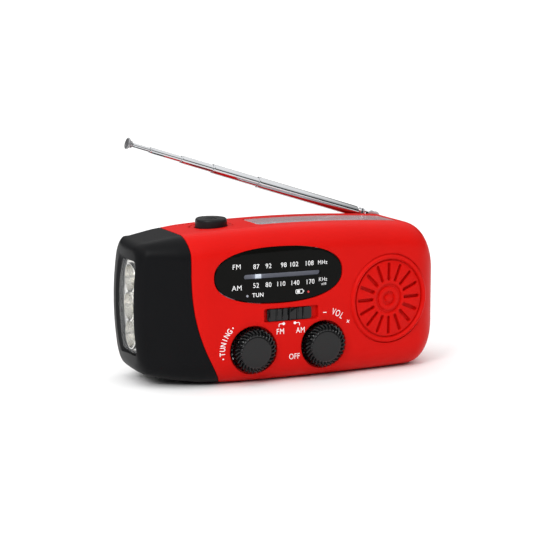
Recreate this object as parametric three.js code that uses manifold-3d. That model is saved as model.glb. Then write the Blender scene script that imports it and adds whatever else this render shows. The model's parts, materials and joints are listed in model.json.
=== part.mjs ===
// Hand-crank emergency radio with a torch, a solar panel, a telescopic aerial and a fold-away crank.
// Millimetres, +Z up. X runs along the length with the torch at -X, and the controls face -Y.
// The origin is on the flat base, under the middle of the case.
import * as THREE from "three";
import { mergeVertices } from "three/addons/utils/BufferGeometryUtils.js";
import Module from "manifold-3d";

const wasm = await Module();
wasm.setup();

// ---- driving dimensions ----
const LENGTH = 128;
const DEPTH = 45;
const HEIGHT = 60;
const END = LENGTH / 2;
const WALL = 2;
const GAP = 0.3;
const FIT = 0.15; // half of the gap at a parting line
const CORNER = 9.6; // radius along the four long edges
const TORCH_CORNER = 5.4; // the same at the torch end
const RIGHT_TOP = 16.3; // radii of the right end, seen from the front and from above
const RIGHT_BOTTOM = 13.5;
const RIGHT_SIDE = 12.2;
const PARTING_Y = 10; // front shell before it, rear cover behind it

const TUNING = { x: -19.9, z: 13.3 };
const VOLUME = { x: 9.4, z: 13.3 };
const KNOB_R = 8.9;
const KNOB_FLUTES = 30;
const FLUTE_DEPTH = 0.7;
const KNOB_FACE_Y = -25.2;
const KNOB_FLOOR_Y = -19.6;
const SHAFT_R = 2.6;
const WINDOW = { x: -9.1, z: 42, a: 26.3, b: 10.7, power: 2.35 };
const SLOT = { x0: -23.8, x1: 8.1, z: 41.85, h: 1.8 };
const POINTER_X = -16.7;
const BAND = { x0: -15.5, x1: 7.1, z0: 23.9, z1: 29, capX0: -14.1, capX1: 4.3 };
// Finger ribs on the band switch cap: X and height.
const BAND_RIBS = [[-13.4, 0.5], [-10.3, 0.5], [-7.8, 0.5], [-5.2, 1.1], [-1.6, 0.5], [0.8, 0.5]];
const SPEAKER = { x: 38.7, z: 29.1, ring: 17.7, field: 15.7, tilt: 0.102 };
const SPEAKER_SLOTS = 16;
const SOLAR = { x0: -12, x1: 48, y0: -9, y1: 8 };
const BUTTON = { x: -28.2, y: 0.5, r: 6.2, top: 62.2 };
const TORCH = { y0: -9.5, y1: 8.5, z0: 12, z1: 48 };
const TORCH_CUPS_Z = [19.2, 30, 40.8];
const TORCH_MID_Y = (TORCH.y0 + TORCH.y1) / 2;

const CRANK = { x: 8, z: 30, reach: 42, y0: 17.8, y1: 22.2 };
const DISH_R = 44.5;
const DISH_Y = 17.3;
const FOLD = { x: -27.9, y: 20.2 };
const KNOB_AXIS_Y = 22.2;
const MODULE = 0.8; // gear tooth size
const IDLER_X = CRANK.x - (MODULE * (36 + 12)) / 2;
const ROTOR_X = IDLER_X - (MODULE * (30 + 10)) / 2;

const GROOVE = { x1: 52.5, y: 12.3, z: 54.6 };
const AERIAL_Y = 15;
const AERIAL_TILT = THREE.MathUtils.degToRad(17.8);
const SWING_PIN = { x: 48, z: 56.98 };
const ELBOW = { x: 44.2, z: 58.2 };
// Each aerial section: outer diameter and the distances of its two ends from the elbow.
const SECTIONS = [
  { name: "antenna_tube_1", d: 4.5, from: 6.5, to: 49.2 },
  { name: "antenna_tube_2", d: 3.8, from: 27.9, to: 69.4 },
  { name: "antenna_tube_3", d: 3.1, from: 43.2, to: 83.2 },
  { name: "antenna_tube_4", d: 2.4, from: 58.2, to: 96.7 },
];
const ROD = { d: 1.7, from: 65.3, to: 104 };
const PORT = { y: 1.9, y0: -5, y1: 8.8, z0: 16.5, z1: 38.7, usbZ: 30.4, microZ: 20 };

// ---- materials ----
const paint = (color, roughness, metalness = 0) => new THREE.MeshStandardMaterial({ color, roughness, metalness });
const RED = paint(0xc81a14, 0.4);
const BLACK = paint(0x1c1d1f, 0.5);
const GLOSS = paint(0x0c0c0c, 0.12);
const CHROME = paint(0xc9ccd0, 0.15, 1);
const STEEL = paint(0x9a9da1, 0.35, 1);
const WHITE = paint(0xd8d6cf, 0.5);
const GREY = paint(0x62646a, 0.5);
const SILICON = paint(0x2a3350, 0.25);
const CLEAR = paint(0xdfe6ea, 0.05);
const REFLECTOR = paint(0xd9dadc, 0.12, 1);
const GREEN = paint(0x1f5a35, 0.55);
const COPPER = paint(0xa0582a, 0.35, 1);
const RUBBER = paint(0x17181a, 0.8);
const BRASS = paint(0xb28b3e, 0.3, 1);
const LAMP_RED = paint(0xb01010, 0.2);

// ---- solids ----
function solid(geometry) {
  const bare = geometry.clone();
  for (const name of Object.keys(bare.attributes)) if (name !== "position") bare.deleteAttribute(name);
  const merged = mergeVertices(bare, 1e-4);
  const vertProperties = new Float32Array(merged.attributes.position.array);
  return new wasm.Manifold(new wasm.Mesh({ numProp: 3, vertProperties, triVerts: new Uint32Array(merged.index.array) }));
}

function geometryOf(made) {
  const mesh = made.getMesh();
  return new THREE.BufferGeometry()
    .setAttribute("position", new THREE.BufferAttribute(mesh.vertProperties, 3))
    .setIndex(new THREE.BufferAttribute(mesh.triVerts, 1));
}

const join = (first, ...rest) => rest.reduce((sum, next) => sum.add(next), first);
const cut = (first, ...rest) => rest.reduce((sum, next) => sum.subtract(next), first);

function box(x0, x1, y0, y1, z0, z1) {
  const shape = new THREE.BoxGeometry(x1 - x0, y1 - y0, z1 - z0);
  return shape.translate((x0 + x1) / 2, (y0 + y1) / 2, (z0 + z1) / 2);
}

// A turned piece about an axis along Y: the profile lists [radius, y] and is closed by itself.
function turned(profile, x = 0, z = 0, sides = 20) {
  const points = [...profile, profile[0]].map(([r, y]) => new THREE.Vector2(r, y));
  return new THREE.LatheGeometry(points, sides).translate(x, 0, z);
}

const rodY = (r, y0, y1, x, z, sides = 20) =>
  new THREE.CylinderGeometry(r, r, y1 - y0, sides).translate(x, (y0 + y1) / 2, z);
const rodZ = (r, z0, z1, x, y, sides = 20) =>
  new THREE.CylinderGeometry(r, r, z1 - z0, sides).rotateX(Math.PI / 2).translate(x, y, (z0 + z1) / 2);
const rodX = (r, x0, x1, y, z, sides = 20) =>
  new THREE.CylinderGeometry(r, r, x1 - x0, sides).rotateZ(Math.PI / 2).translate((x0 + x1) / 2, y, z);

const flat = (points) => new THREE.Shape(points.map(([u, v]) => new THREE.Vector2(u, v)));
const extrude = (shape, depth) => new THREE.ExtrudeGeometry(shape, { depth, bevelEnabled: false, curveSegments: 4 });
// An outline in the XZ plane, given thickness from y0 to y1.
const plateY = (shape, y0, y1) => extrude(shape, y1 - y0).rotateX(Math.PI / 2).translate(0, y1, 0);
// An outline in the XY plane, given thickness from z0 to z1.
const plateZ = (shape, z0, z1) => extrude(shape, z1 - z0).translate(0, 0, z0);
// An outline in the YZ plane, given thickness from x0 to x1.
function plateX(shape, x0, x1) {
  const turn = new THREE.Matrix4().makeBasis(
    new THREE.Vector3(0, 1, 0),
    new THREE.Vector3(0, 0, 1),
    new THREE.Vector3(1, 0, 0),
  );
  return extrude(shape, x1 - x0).applyMatrix4(turn).translate(x0, 0, 0);
}

function roundedRect(u0, u1, v0, v1, r) {
  const shape = new THREE.Shape();
  shape.absarc(u1 - r, v0 + r, r, -Math.PI / 2, 0);
  shape.absarc(u1 - r, v1 - r, r, 0, Math.PI / 2);
  shape.absarc(u0 + r, v1 - r, r, Math.PI / 2, Math.PI);
  shape.absarc(u0 + r, v0 + r, r, Math.PI, Math.PI * 1.5);
  return shape;
}

// The outline of a band stretched round some circles, grown by the given amount.
function bandRound(circles, grow, steps = 40) {
  return Array.from({ length: steps }, (_, i) => {
    const a = (i / steps) * 2 * Math.PI;
    const reach = (c) => c.u * Math.cos(a) + c.v * Math.sin(a) + c.r;
    const c = circles.reduce((best, next) => (reach(next) > reach(best) ? next : best));
    return [c.u + (c.r + grow) * Math.cos(a), c.v + (c.r + grow) * Math.sin(a)];
  });
}

// ---- outer form of the case ----
const taper = (x) => Math.max(0, (-x - 38) / 26) ** 1.3;
const frontAt = (x) => -DEPTH / 2 + 4.78 * ((x + 5) / END) ** 2 + 7.13 * taper(x);
const backAt = (x) => DEPTH / 2 - 1.84 * (x / END) ** 2 - 1.73 * taper(x);
const topAt = (x) => HEIGHT - 3.62 * ((x - 2.3) / END) ** 2 - 1.55 * taper(x);
const bottomAt = (x) => 1.47 * (Math.max(0, Math.abs(x - 13.9) - 29) / 35) ** 2 + 2.08 * taper(x);

const cornerAt = (x) => CORNER - (CORNER - TORCH_CORNER) * THREE.MathUtils.clamp((-44 - x) / 16, 0, 1);

// How far a rounded corner of radius r has fallen back at a distance past its start.
const fallBack = (r, past) => (past <= 0 ? 0 : r - Math.sqrt(Math.max(0, r * r - past * past)));

// One cross-section of the case, a rounded rectangle in the YZ plane, moved in by inset.
function ring(x, shrink, inset) {
  const right = (r) => fallBack(r - inset, x - (END - r));
  const y0 = frontAt(x) + inset + shrink + right(RIGHT_SIDE);
  const y1 = backAt(x) - inset - shrink - right(RIGHT_SIDE);
  const z0 = bottomAt(x) + inset + shrink + right(RIGHT_BOTTOM);
  const z1 = topAt(x) - inset - shrink - right(RIGHT_TOP);
  const r = Math.min(cornerAt(x) - inset, (y1 - y0) * 0.48, (z1 - z0) * 0.48);
  const corners = [[y1 - r, z0 + r, 3], [y1 - r, z1 - r, 0], [y0 + r, z1 - r, 1], [y0 + r, z0 + r, 2]];
  const bowed = THREE.MathUtils.clamp((-48 - x) / 16, 0, 1);
  const steps = 4;
  return corners.flatMap(([cy, cz, quarter]) =>
    Array.from({ length: steps + 1 }, (_, i) => {
      const a = ((quarter + i / steps) * Math.PI) / 2;
      const y = cy + r * Math.cos(a);
      const z = cz + r * Math.sin(a);
      const bow = bowed * (2.41 * ((z - 30) / 25) ** 2 + 1.66 * (y / 20) ** 2);
      return new THREE.Vector3(x + bow, y, z);
    }),
  );
}

// A closed skin over a row of rings, with a fan at each end that meets at the given X.
function loft(rings, tips) {
  const n = rings[0].length;
  const points = rings.flat();
  const index = [];
  for (let k = 0; k + 1 < rings.length; k++)
    for (let i = 0; i < n; i++) {
      const [a, b] = [k * n + i, k * n + ((i + 1) % n)];
      index.push(a, b, b + n, a, b + n, a + n);
    }
  for (const [k, tip, flip] of [[0, tips[0], true], [rings.length - 1, tips[1], false]]) {
    const centre = rings[k].reduce((sum, p) => sum.add(p), new THREE.Vector3()).divideScalar(n);
    points.push(centre.setX(tip));
    for (let i = 0; i < n; i++) {
      const [a, b] = [k * n + i, k * n + ((i + 1) % n)];
      index.push(...(flip ? [b, a] : [a, b]), points.length - 1);
    }
  }
  const geometry = new THREE.BufferGeometry().setFromPoints(points);
  return geometry.setIndex(index);
}

// The whole case as one solid body, moved in by inset.
function caseBody(inset) {
  const fillet = Math.max(0.4, 3 - inset);
  const left = -END + inset;
  const rings = [12, 5].map((shrink) => ring(left, fillet + shrink, inset));
  for (const deg of [0, 30, 60]) {
    const a = THREE.MathUtils.degToRad(deg);
    rings.push(ring(left + fillet * (1 - Math.cos(a)), fillet * (1 - Math.sin(a)), inset));
  }
  for (const x of [left + fillet, -56, -48, -43, -38, -28, -14, 2, 18, 34]) rings.push(ring(x, 0, inset));
  for (const share of [0, 0.3, 0.55, 0.75, 0.9, 1]) {
    const start = END - RIGHT_TOP;
    rings.push(ring(start + share * (RIGHT_TOP - inset - 0.02), 0, inset));
  }
  return solid(loft(rings, [left, END - inset]));
}

const outer = caseBody(0);
const inner = caseBody(WALL);
const shell = outer.subtract(inner);

// A plate that follows the surface of the case, between two depths below it.
const skin = (depth0, depth1) => caseBody(depth0).subtract(caseBody(depth1));

// The seam between the torch cap and the red case, seen from the front.
const seamAt = (z) => -44.2 + 12.95 * Math.max(0, 1 - z / 45) ** 2.4 - 1.2 * Math.max(0, (z - 52) / 8);
function capSide(offset) {
  const seam = [];
  for (let z = -2; z <= 62; z += 4) seam.push([seamAt(z) + offset, z]);
  return solid(plateY(flat([[-70, -2], ...seam, [-70, 62]]), -40, 40));
}

const root = new THREE.Group();
root.name = "emergency_radio";

function place(name, made, material, parent = root) {
  const geometry = made.isBufferGeometry ? made : geometryOf(made);
  const mesh = new THREE.Mesh(geometry, material.clone());
  mesh.name = name;
  parent.add(mesh);
  return mesh;
}

// The oval of the dial window, grown by the given amount.
function windowOutline(grow, steps = 36) {
  return flat(
    Array.from({ length: steps }, (_, i) => {
      const a = (i / steps) * 2 * Math.PI;
      const bend = (c) => Math.sign(c) * Math.abs(c) ** (2 / WINDOW.power);
      return [
        WINDOW.x + (WINDOW.a + grow) * bend(Math.cos(a)),
        WINDOW.z + (WINDOW.b + grow) * bend(Math.sin(a)),
      ];
    }),
  );
}

// Turns a piece that was made round the speaker's own axis to face square out of the crowned front.
function faceSpeaker(geometry) {
  return geometry.rotateZ(SPEAKER.tilt).translate(SPEAKER.x, frontAt(SPEAKER.x), SPEAKER.z);
}

const REAR_SCREWS = [[-39.5, 45], [54.5, 41.5], [54.5, 14.5]];
const screwHeadY = (x) => backAt(x) - fallBack(RIGHT_SIDE, x - (END - RIGHT_SIDE)) - 1.2;

// ---- case ----
function frontShell() {
  const keep = solid(box(-70, 70, -40, PARTING_Y - FIT, -5, 70)).subtract(capSide(FIT));
  const bosses = [TUNING, VOLUME].map((k) => solid(rodY(KNOB_R + 2, -20.9, KNOB_FLOOR_Y + WALL, k.x, k.z, 32)));
  const pillars = REAR_SCREWS.map(([x, z]) => solid(rodY(3, -19, PARTING_Y - 0.5, x, z, 12)));
  const portFloor = solid(box(59.6, 63, PORT.y0 - 1.5, PORT.y1 + 0.8, PORT.z0 - 1.5, PORT.z1 + 1.5));
  const body = join(shell.intersect(keep), ...[...bosses, ...pillars, portFloor].map((s) => s.intersect(outer)));
  const cuts = [
    solid(plateY(windowOutline(GAP), -30, -18)),
    solid(box(BAND.x0, BAND.x1, -30, -20.9, BAND.z0, BAND.z1)),
    solid(box(-9.5, 4.5, -30, -15, 25.3, 27.6)),
    ...[TUNING, VOLUME].flatMap((k) => [
      solid(rodY(KNOB_R + 0.6, -30, KNOB_FLOOR_Y + GAP, k.x, k.z, 32)),
      solid(rodY(SHAFT_R + GAP, -30, -10, k.x, k.z, 16)),
    ]),
    solid(faceSpeaker(rodY(SPEAKER.ring + GAP, -4, 6, 0, 0, 32))),
    solid(box(SOLAR.x0 - GAP, SOLAR.x1 + GAP, SOLAR.y0 - GAP, SOLAR.y1 + GAP, 50, 70)),
    solid(rodZ(BUTTON.r + GAP, 50, 70, BUTTON.x, BUTTON.y, 32)),
    solid(box(61.4, 70, PORT.y0 - GAP, PORT.y1 + GAP, PORT.z0 - GAP, PORT.z1 + GAP)),
    solid(box(50, 70, PORT.y - 3.4 - GAP, PORT.y + 3.4 + GAP, PORT.usbZ - 7 - GAP, PORT.usbZ + 7 + GAP)),
    solid(box(50, 70, PORT.y - 4.2 - GAP, PORT.y + 4.2 + GAP, PORT.microZ - 1.9 - GAP, PORT.microZ + 1.9 + GAP)),
    ...REAR_SCREWS.map(([x, z]) => solid(rodY(1.3 + GAP, -8, 14, x, z, 12))),
  ];
  return cut(body, ...cuts);
}

// The open channel along the top rear edge where the aerial lies when it is put away, and its lining.
const groove = solid(box(-70, GROOVE.x1, GROOVE.y, 40, GROOVE.z, 70));
const grooveBack = solid(box(-70, GROOVE.x1 + WALL, PARTING_Y, 40, GROOVE.z - WALL, 70));

function rearCover() {
  const keep = solid(box(-70, 70, PARTING_Y + FIT, 40, -5, 70)).subtract(capSide(FIT));
  const dish = solid(rodY(DISH_R, DISH_Y, 40, CRANK.x, CRANK.z, 56));
  const dishBack = solid(rodY(DISH_R + WALL, DISH_Y - WALL, 40, CRANK.x, CRANK.z, 56));
  const walls = join(shell, dishBack.intersect(outer), grooveBack.intersect(outer)).intersect(keep);
  const screwHoles = REAR_SCREWS.flatMap(([x, z]) => [
    solid(rodY(2.4 + GAP, screwHeadY(x) - GAP, 40, x, z, 20)),
    solid(rodY(1.3 + GAP, 5, 40, x, z, 12)),
  ]);
  return cut(walls, dish, groove, solid(rodY(3 + GAP, 5, 40, CRANK.x, CRANK.z, 20)), ...screwHoles);
}

function torchCap() {
  const opening = plateX(roundedRect(TORCH.y0, TORCH.y1, TORCH.z0, TORCH.z1, 2), -70, -55);
  return cut(shell.add(grooveBack.intersect(outer)).intersect(capSide(-FIT)), solid(opening), groove);
}

place("front_shell", frontShell(), RED);
place("rear_cover", rearCover(), RED);
place("torch_cap", torchCap(), BLACK);
REAR_SCREWS.forEach(([x, z], i) => {
  const head = screwHeadY(x);
  place(`rear_screw_${i + 1}`, turned([[0, -6], [1.3, -6], [1.3, head], [2.4, head], [2.4, head + 1], [0, head + 1]], x, z, 12), STEEL);
});

// ---- torch ----
function torchReflector() {
  const [y0, y1, z0, z1] = [TORCH.y0 - 0.6, TORCH.y1 + 0.6, TORCH.z0 - 0.6, TORCH.z1 + 0.6];
  const block = solid(plateX(roundedRect(y0, y1, z0, z1, 2), -60, -51));
  const cups = TORCH_CUPS_Z.map((z) => {
    const profile = [[0, 50.5], [2.8, 50.5], [2.8, 52], [4.4, 55.5], [5.2, 60.5], [0, 60.5]];
    return solid(turned(profile, 0, 0, 20).rotateZ(Math.PI / 2).translate(0, TORCH_MID_Y, z));
  });
  return cut(block, ...cups);
}

const lensOutline = roundedRect(TORCH.y0 + GAP, TORCH.y1 - GAP, TORCH.z0 + GAP, TORCH.z1 - GAP, 1.8);
place("torch_lens", plateX(lensOutline, -61.4, -60.3), CLEAR);
place("torch_reflector", torchReflector(), REFLECTOR);
TORCH_CUPS_Z.forEach((z, i) => {
  const dome = [[0, 49.5], [2.5, 49.5], [2.5, 53], [1.9, 54.8], [0.9, 55.7], [0, 55.9]];
  place(`torch_led_${i + 1}`, turned(dome, 0, 0, 16).rotateZ(Math.PI / 2).translate(0, TORCH_MID_Y, z), CLEAR);
});
place("torch_board", box(-49.2, -47.8, -8, 7, 12, 48), GREEN);

// ---- dial ----
function dialWindow() {
  const plate = skin(0.15, 1.6).intersect(solid(plateY(windowOutline(0), -30, -15)));
  const { x0, x1, z, h } = SLOT;
  return cut(plate, solid(plateY(roundedRect(x0, x1, z - h / 2, z + h / 2, h / 2 - 0.01), -30, -15)));
}

function dialPointer() {
  const bar = solid(box(POINTER_X - 1.1, POINTER_X + 1.1, -19.3, -18.6, 32.4, 45));
  const arm = solid(box(POINTER_X - 1.1, POINTER_X + 1.1, -19, -12.4, 31.6, 33));
  return join(bar, arm);
}

const DRUM_R = 5.17; // radius at which the cord winds
const GUIDES = [{ u: -27, v: 32, r: 1.6 }, { u: 12, v: 32, r: 1.6 }];
const CORD_Y = -12.5;

function dialBacking() {
  const plate = solid(box(-32, 15, -17.9, -16.9, 35, 48));
  const legs = GUIDES.map(({ u }) => solid(box(u - 1, u + 1, -17.5, -16.9, 30.5, 36)));
  const posts = GUIDES.map(({ u, v, r }) => solid(rodY(r - GAP, -17.4, -11.2, u, v, 12)));
  return join(plate, ...legs, ...posts);
}

function dialCord() {
  const circles = [...GUIDES, { u: TUNING.x, v: TUNING.z, r: DRUM_R + 0.1 }];
  const shape = flat(bandRound(circles, 0.8));
  shape.holes.push(new THREE.Path(bandRound(circles, 0).map(([u, v]) => new THREE.Vector2(u, v))));
  return plateY(shape, CORD_Y - 0.4, CORD_Y + 0.4);
}

const drumProfile = [[2.9, -13.6], [6.6, -13.6], [6.6, -13.1], [4.9, -13.1], [4.9, -11.9], [6.6, -11.9], [6.6, -11.4], [2.9, -11.4]];
place("dial_window", dialWindow(), GLOSS);
place("dial_backing", dialBacking(), GREY);
place("dial_pointer", dialPointer(), WHITE);
place("dial_drum", turned(drumProfile, TUNING.x, TUNING.z), WHITE);
place("dial_cord", dialCord(), WHITE);
place("tuning_led", rodY(0.9, -20.2, -19.6, -22.5, 34.6, 12), LAMP_RED);
place("charge_led", rodY(0.9, -20.2, -19.6, 2.8, 34.6, 12), LAMP_RED);

// ---- controls on the front ----
function knob(shaftEnd) {
  const points = Array.from({ length: KNOB_FLUTES * 2 }, (_, i) => {
    const a = (i / (KNOB_FLUTES * 2)) * 2 * Math.PI;
    const r = KNOB_R - (i % 2) * FLUTE_DEPTH;
    return [r * Math.cos(a), r * Math.sin(a)];
  });
  const rim = solid(plateY(flat(points), KNOB_FACE_Y + 1, KNOB_FLOOR_Y));
  const face = solid(turned([[0, KNOB_FACE_Y], [6.2, KNOB_FACE_Y], [7.6, KNOB_FACE_Y + 1.2], [0, KNOB_FACE_Y + 1.2]]));
  return join(rim, face, solid(rodY(SHAFT_R, KNOB_FLOOR_Y - 0.2, shaftEnd, 0, 0, 16)));
}

function bandSwitchCap() {
  const { capX0, capX1, z0, z1 } = BAND;
  const slab = solid(box(capX0, capX1, -22, -21.2, z0 + 0.25, z1 - 0.25));
  const ribs = BAND_RIBS.map(([x, rise]) =>
    solid(box(x - 0.35, x + 0.35, -22 - rise, -21.5, z0 + 0.25, z1 - 0.25)),
  );
  return join(slab, ...ribs, solid(box(-6.4, -3.4, -21.5, -17.6, 25.6, 27.3)));
}

place("tuning_knob", geometryOf(knob(-6)).translate(TUNING.x, 0, TUNING.z), BLACK);
place("volume_knob", geometryOf(knob(-10.5)).translate(VOLUME.x, 0, VOLUME.z), BLACK);
const capacitor = [[2.9, -10.8], [9, -10.8], [9, -4.4], [0, -4.4], [0, -5.4], [2.9, -5.4]];
place("tuning_capacitor", turned(capacitor, TUNING.x, TUNING.z, 20), WHITE);
const pot = [[2.9, -17], [4.5, -17], [4.5, -15], [8, -15], [8, -9], [0, -9], [0, -10], [2.9, -10]];
place("volume_control", turned(pot, VOLUME.x, VOLUME.z, 20), STEEL);
place("band_switch_cap", bandSwitchCap(), BLACK);
place("band_switch_body", box(-12, 5, -17.2, -14, 22.5, 30.2), STEEL);

// ---- speaker ----
function speakerGrille() {
  const { ring: rim, field } = SPEAKER;
  const profile = [[0, 0], [field, 0], [field + 0.2, -0.55], [rim - 0.5, -0.55], [rim, 0], [rim, 2], [0, 2]];
  const slots = Array.from({ length: SPEAKER_SLOTS }, (_, i) => {
    const slot = box(-0.7, 0.7, -3, 4, 7, 14.3).rotateY((i / SPEAKER_SLOTS) * 2 * Math.PI);
    return solid(slot);
  });
  return faceSpeaker(geometryOf(cut(solid(turned(profile, 0, 0, 32)), ...slots)));
}

const basket = [[12.5, 2.8], [16.5, 2.8], [16.5, 3.8], [14, 3.8], [9, 9], [8, 9], [12.5, 4]];
const cone = [[0, 6.8], [4, 6.8], [12, 3.4], [12, 4], [4.2, 7.6], [0, 7.6]];
place("speaker_grille", speakerGrille(), RED);
place("speaker_frame", faceSpeaker(turned(basket)), STEEL);
place("speaker_cone", faceSpeaker(turned(cone)), BLACK);
place("speaker_magnet", faceSpeaker(rodY(7.2, 8.2, 13, 0, 0)), STEEL);

// ---- top: torch button and solar panel ----
function topPlate(depth0, depth1, margin) {
  const { x0, x1, y0, y1 } = SOLAR;
  const outline = roundedRect(x0 + margin, x1 - margin, y0 + margin, y1 - margin, 1.2);
  return skin(depth0, depth1).intersect(solid(plateZ(outline, 50, 70)));
}

const buttonProfile = [[0, 55.4], [7.5, 55.4], [7.5, 56.4], [6.2, 56.4], [6.2, 61], [5.6, 61.9], [4.4, BUTTON.top], [0, BUTTON.top]];
const buttonTurned = turned(buttonProfile, 0, 0, 28).rotateX(Math.PI / 2).translate(BUTTON.x, BUTTON.y, 0);
place("torch_button", buttonTurned, BLACK);
place("torch_switch", box(BUTTON.x - 3, BUTTON.x + 3, BUTTON.y - 3, BUTTON.y + 3, 49.5, 53.9), STEEL);
place("solar_cover", topPlate(0.25, 1.45, 0), CLEAR);
place("solar_cell", topPlate(1.75, 2.35, 1), SILICON);

// ---- inside: boards, battery and aerial coil ----
place("main_board", box(-36, 46, -2.8, -1.6, 8, 48), GREEN);
place("battery_pack", plateY(roundedRect(-8, 46, 12, 47, 2), -0.8, 5.2), GREY);
place("ferrite_rod", rodX(3.2, -12, 38, 3, 52.3, 16), BLACK);
const coil = [[3.6, -8], [4.6, -8], [4.6, 10], [3.6, 10]];
place("ferrite_coil", turned(coil, 0, 0, 16).rotateZ(-Math.PI / 2).translate(8, 3, 52.3), COPPER);

// ---- dynamo and gears ----
const involute = (angle) => Math.tan(angle) - angle;
function gear(teeth, bore, y0, y1, backlash = 0.16, turn = 0) {
  const pressure = THREE.MathUtils.degToRad(20);
  const pitchR = (MODULE * teeth) / 2;
  const baseR = pitchR * Math.cos(pressure);
  const halfTooth = (r) => {
    const angle = Math.acos(Math.min(1, baseR / r));
    return Math.PI / (2 * teeth) - backlash / pitchR + involute(pressure) - involute(angle);
  };
  const [rootR, tipR] = [pitchR - 1.15 * MODULE, pitchR + 0.85 * MODULE];
  const points = [];
  for (let i = 0; i < teeth; i++) {
    const mid = (i / teeth) * 2 * Math.PI + turn;
    const flank = [[rootR, -halfTooth(Math.max(rootR, baseR))], [tipR, -halfTooth(tipR)]];
    for (const [r, a] of flank) points.push([r * Math.cos(mid + a), r * Math.sin(mid + a)]);
    for (const [r, a] of flank.reverse()) points.push([r * Math.cos(mid - a), r * Math.sin(mid - a)]);
  }
  const shape = flat(points);
  if (bore) shape.holes.push(new THREE.Path().absarc(0, 0, bore, 0, 2 * Math.PI, true));
  return plateY(shape, y0, y1);
}

const DYNAMO_R = 11;
function gearPlate() {
  const outline = flat(bandRound([{ u: ROTOR_X, v: CRANK.z, r: 10 }, { u: IDLER_X, v: CRANK.z, r: 6 }], 0, 32));
  outline.holes.push(new THREE.Path().absarc(ROTOR_X, CRANK.z, 5.2, 0, 2 * Math.PI, true));
  return join(solid(plateY(outline, 7.2, 8.1)), solid(rodY(1.2, 7.5, 14.8, IDLER_X, CRANK.z, 12)));
}

function dynamoRotor() {
  const spindle = turned([[0, 0.6], [9.4, 0.6], [9.4, 6], [1.2, 6], [1.2, 11.6], [0, 11.6]], 0, 0, 24);
  return join(solid(spindle), solid(gear(10, 0, 8.5, 11)));
}

function idlerGear() {
  const wheel = solid(gear(30, 1.5, 8.5, 11, 0.16, Math.PI / 30));
  return join(wheel, solid(gear(12, 1.5, 10.9, 14.6)));
}

const housing = [[0, -0.9], [DYNAMO_R, -0.9], [DYNAMO_R, 6.9], [1.6, 6.9], [1.6, 6.4], [10, 6.4], [10, 0.2], [0, 0.2]];
place("dynamo_housing", turned(housing, ROTOR_X, CRANK.z, 24), STEEL);
place("dynamo_rotor", geometryOf(dynamoRotor()).translate(ROTOR_X, 0, CRANK.z), STEEL);
place("gear_plate", gearPlate(), STEEL);
place("idler_gear", geometryOf(idlerGear()).translate(IDLER_X, 0, CRANK.z), WHITE);
place("crank_gear", gear(36, 3.3, 12, 14.6, 0.16, Math.PI / 36).translate(CRANK.x, 0, CRANK.z), WHITE);

// ---- crank ----
function crankArm() {
  const outline = bandRound([{ u: CRANK.x, v: CRANK.z, r: 9 }, { u: CRANK.x - CRANK.reach + 7, v: CRANK.z, r: 7 }], 0, 48);
  const slab = solid(plateY(flat(outline), CRANK.y0, CRANK.y1));
  const slot = solid(plateY(roundedRect(-32.6, -8.4, CRANK.z - 4.3, CRANK.z + 4.3, 2), 10, 30));
  const pin = solid(rodZ(0.8, CRANK.z - 5, CRANK.z + 5, FOLD.x, FOLD.y, 12));
  return cut(slab, slot, solid(rodY(3.3, 10, 30, CRANK.x, CRANK.z, 20))).add(pin);
}

function knobStem() {
  const cheek = bandRound([{ u: FOLD.x, v: FOLD.y, r: 2.2 }, { u: FOLD.x + 1.6, v: KNOB_AXIS_Y, r: 1.9 }], 0, 24);
  const block = solid(plateZ(flat(cheek), CRANK.z - 3.8, CRANK.z + 3.8));
  const spindle = solid(rodX(1.4, FOLD.x + 2, -10.2, KNOB_AXIS_Y, CRANK.z, 12));
  const head = solid(rodX(2.3, -10.4, -9.6, KNOB_AXIS_Y, CRANK.z, 12));
  return join(block, spindle, head).subtract(solid(rodZ(1.1, 20, 40, FOLD.x, FOLD.y, 12)));
}

const grip = [[1.7, 10.8], [3.4, 10.8], [3.7, 11.6], [3.7, 23], [3.3, 24], [1.7, 24]];
place("crank_shaft", rodY(3, 11.4, 22, CRANK.x, CRANK.z, 20), STEEL);
place("crank_arm", crankArm(), BLACK);
place("crank_cap", turned([[0, 22.5], [6.5, 22.5], [6.5, 23.2], [5.6, 23.7], [0, 23.7]], CRANK.x, CRANK.z), BLACK);
place("knob_stem", knobStem(), STEEL);
place("crank_knob", turned(grip, 0, 0, 20).rotateZ(Math.PI / 2).translate(0, KNOB_AXIS_Y, CRANK.z), BLACK);

// ---- telescopic aerial ----
// It is drawn lying along -X from the elbow, and its group lifts it.
function antennaMount() {
  const ears = [12.6, 16.6].map((y) => solid(plateY(roundedRect(45.6, 50.9, 54.9, 59, 1.6), y, y + 0.8)));
  const back = solid(box(50.3, 50.9, 12.8, 17.2, 54.9, 56.6));
  return join(...ears, back, solid(rodY(0.8, 12.7, 17.3, SWING_PIN.x, SWING_PIN.z, 12)));
}

const aerial = new THREE.Group();
aerial.position.set(ELBOW.x, AERIAL_Y, ELBOW.z);
aerial.rotation.y = AERIAL_TILT;
root.add(aerial);
const pinAway = Math.hypot(SWING_PIN.x - ELBOW.x, SWING_PIN.z - ELBOW.z);

// A turned piece along the aerial, from profile points [radius, distance from the elbow].
const alongAerial = (profile, sides = 12) => turned(profile, 0, 0, sides).rotateZ(Math.PI / 2);

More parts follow.
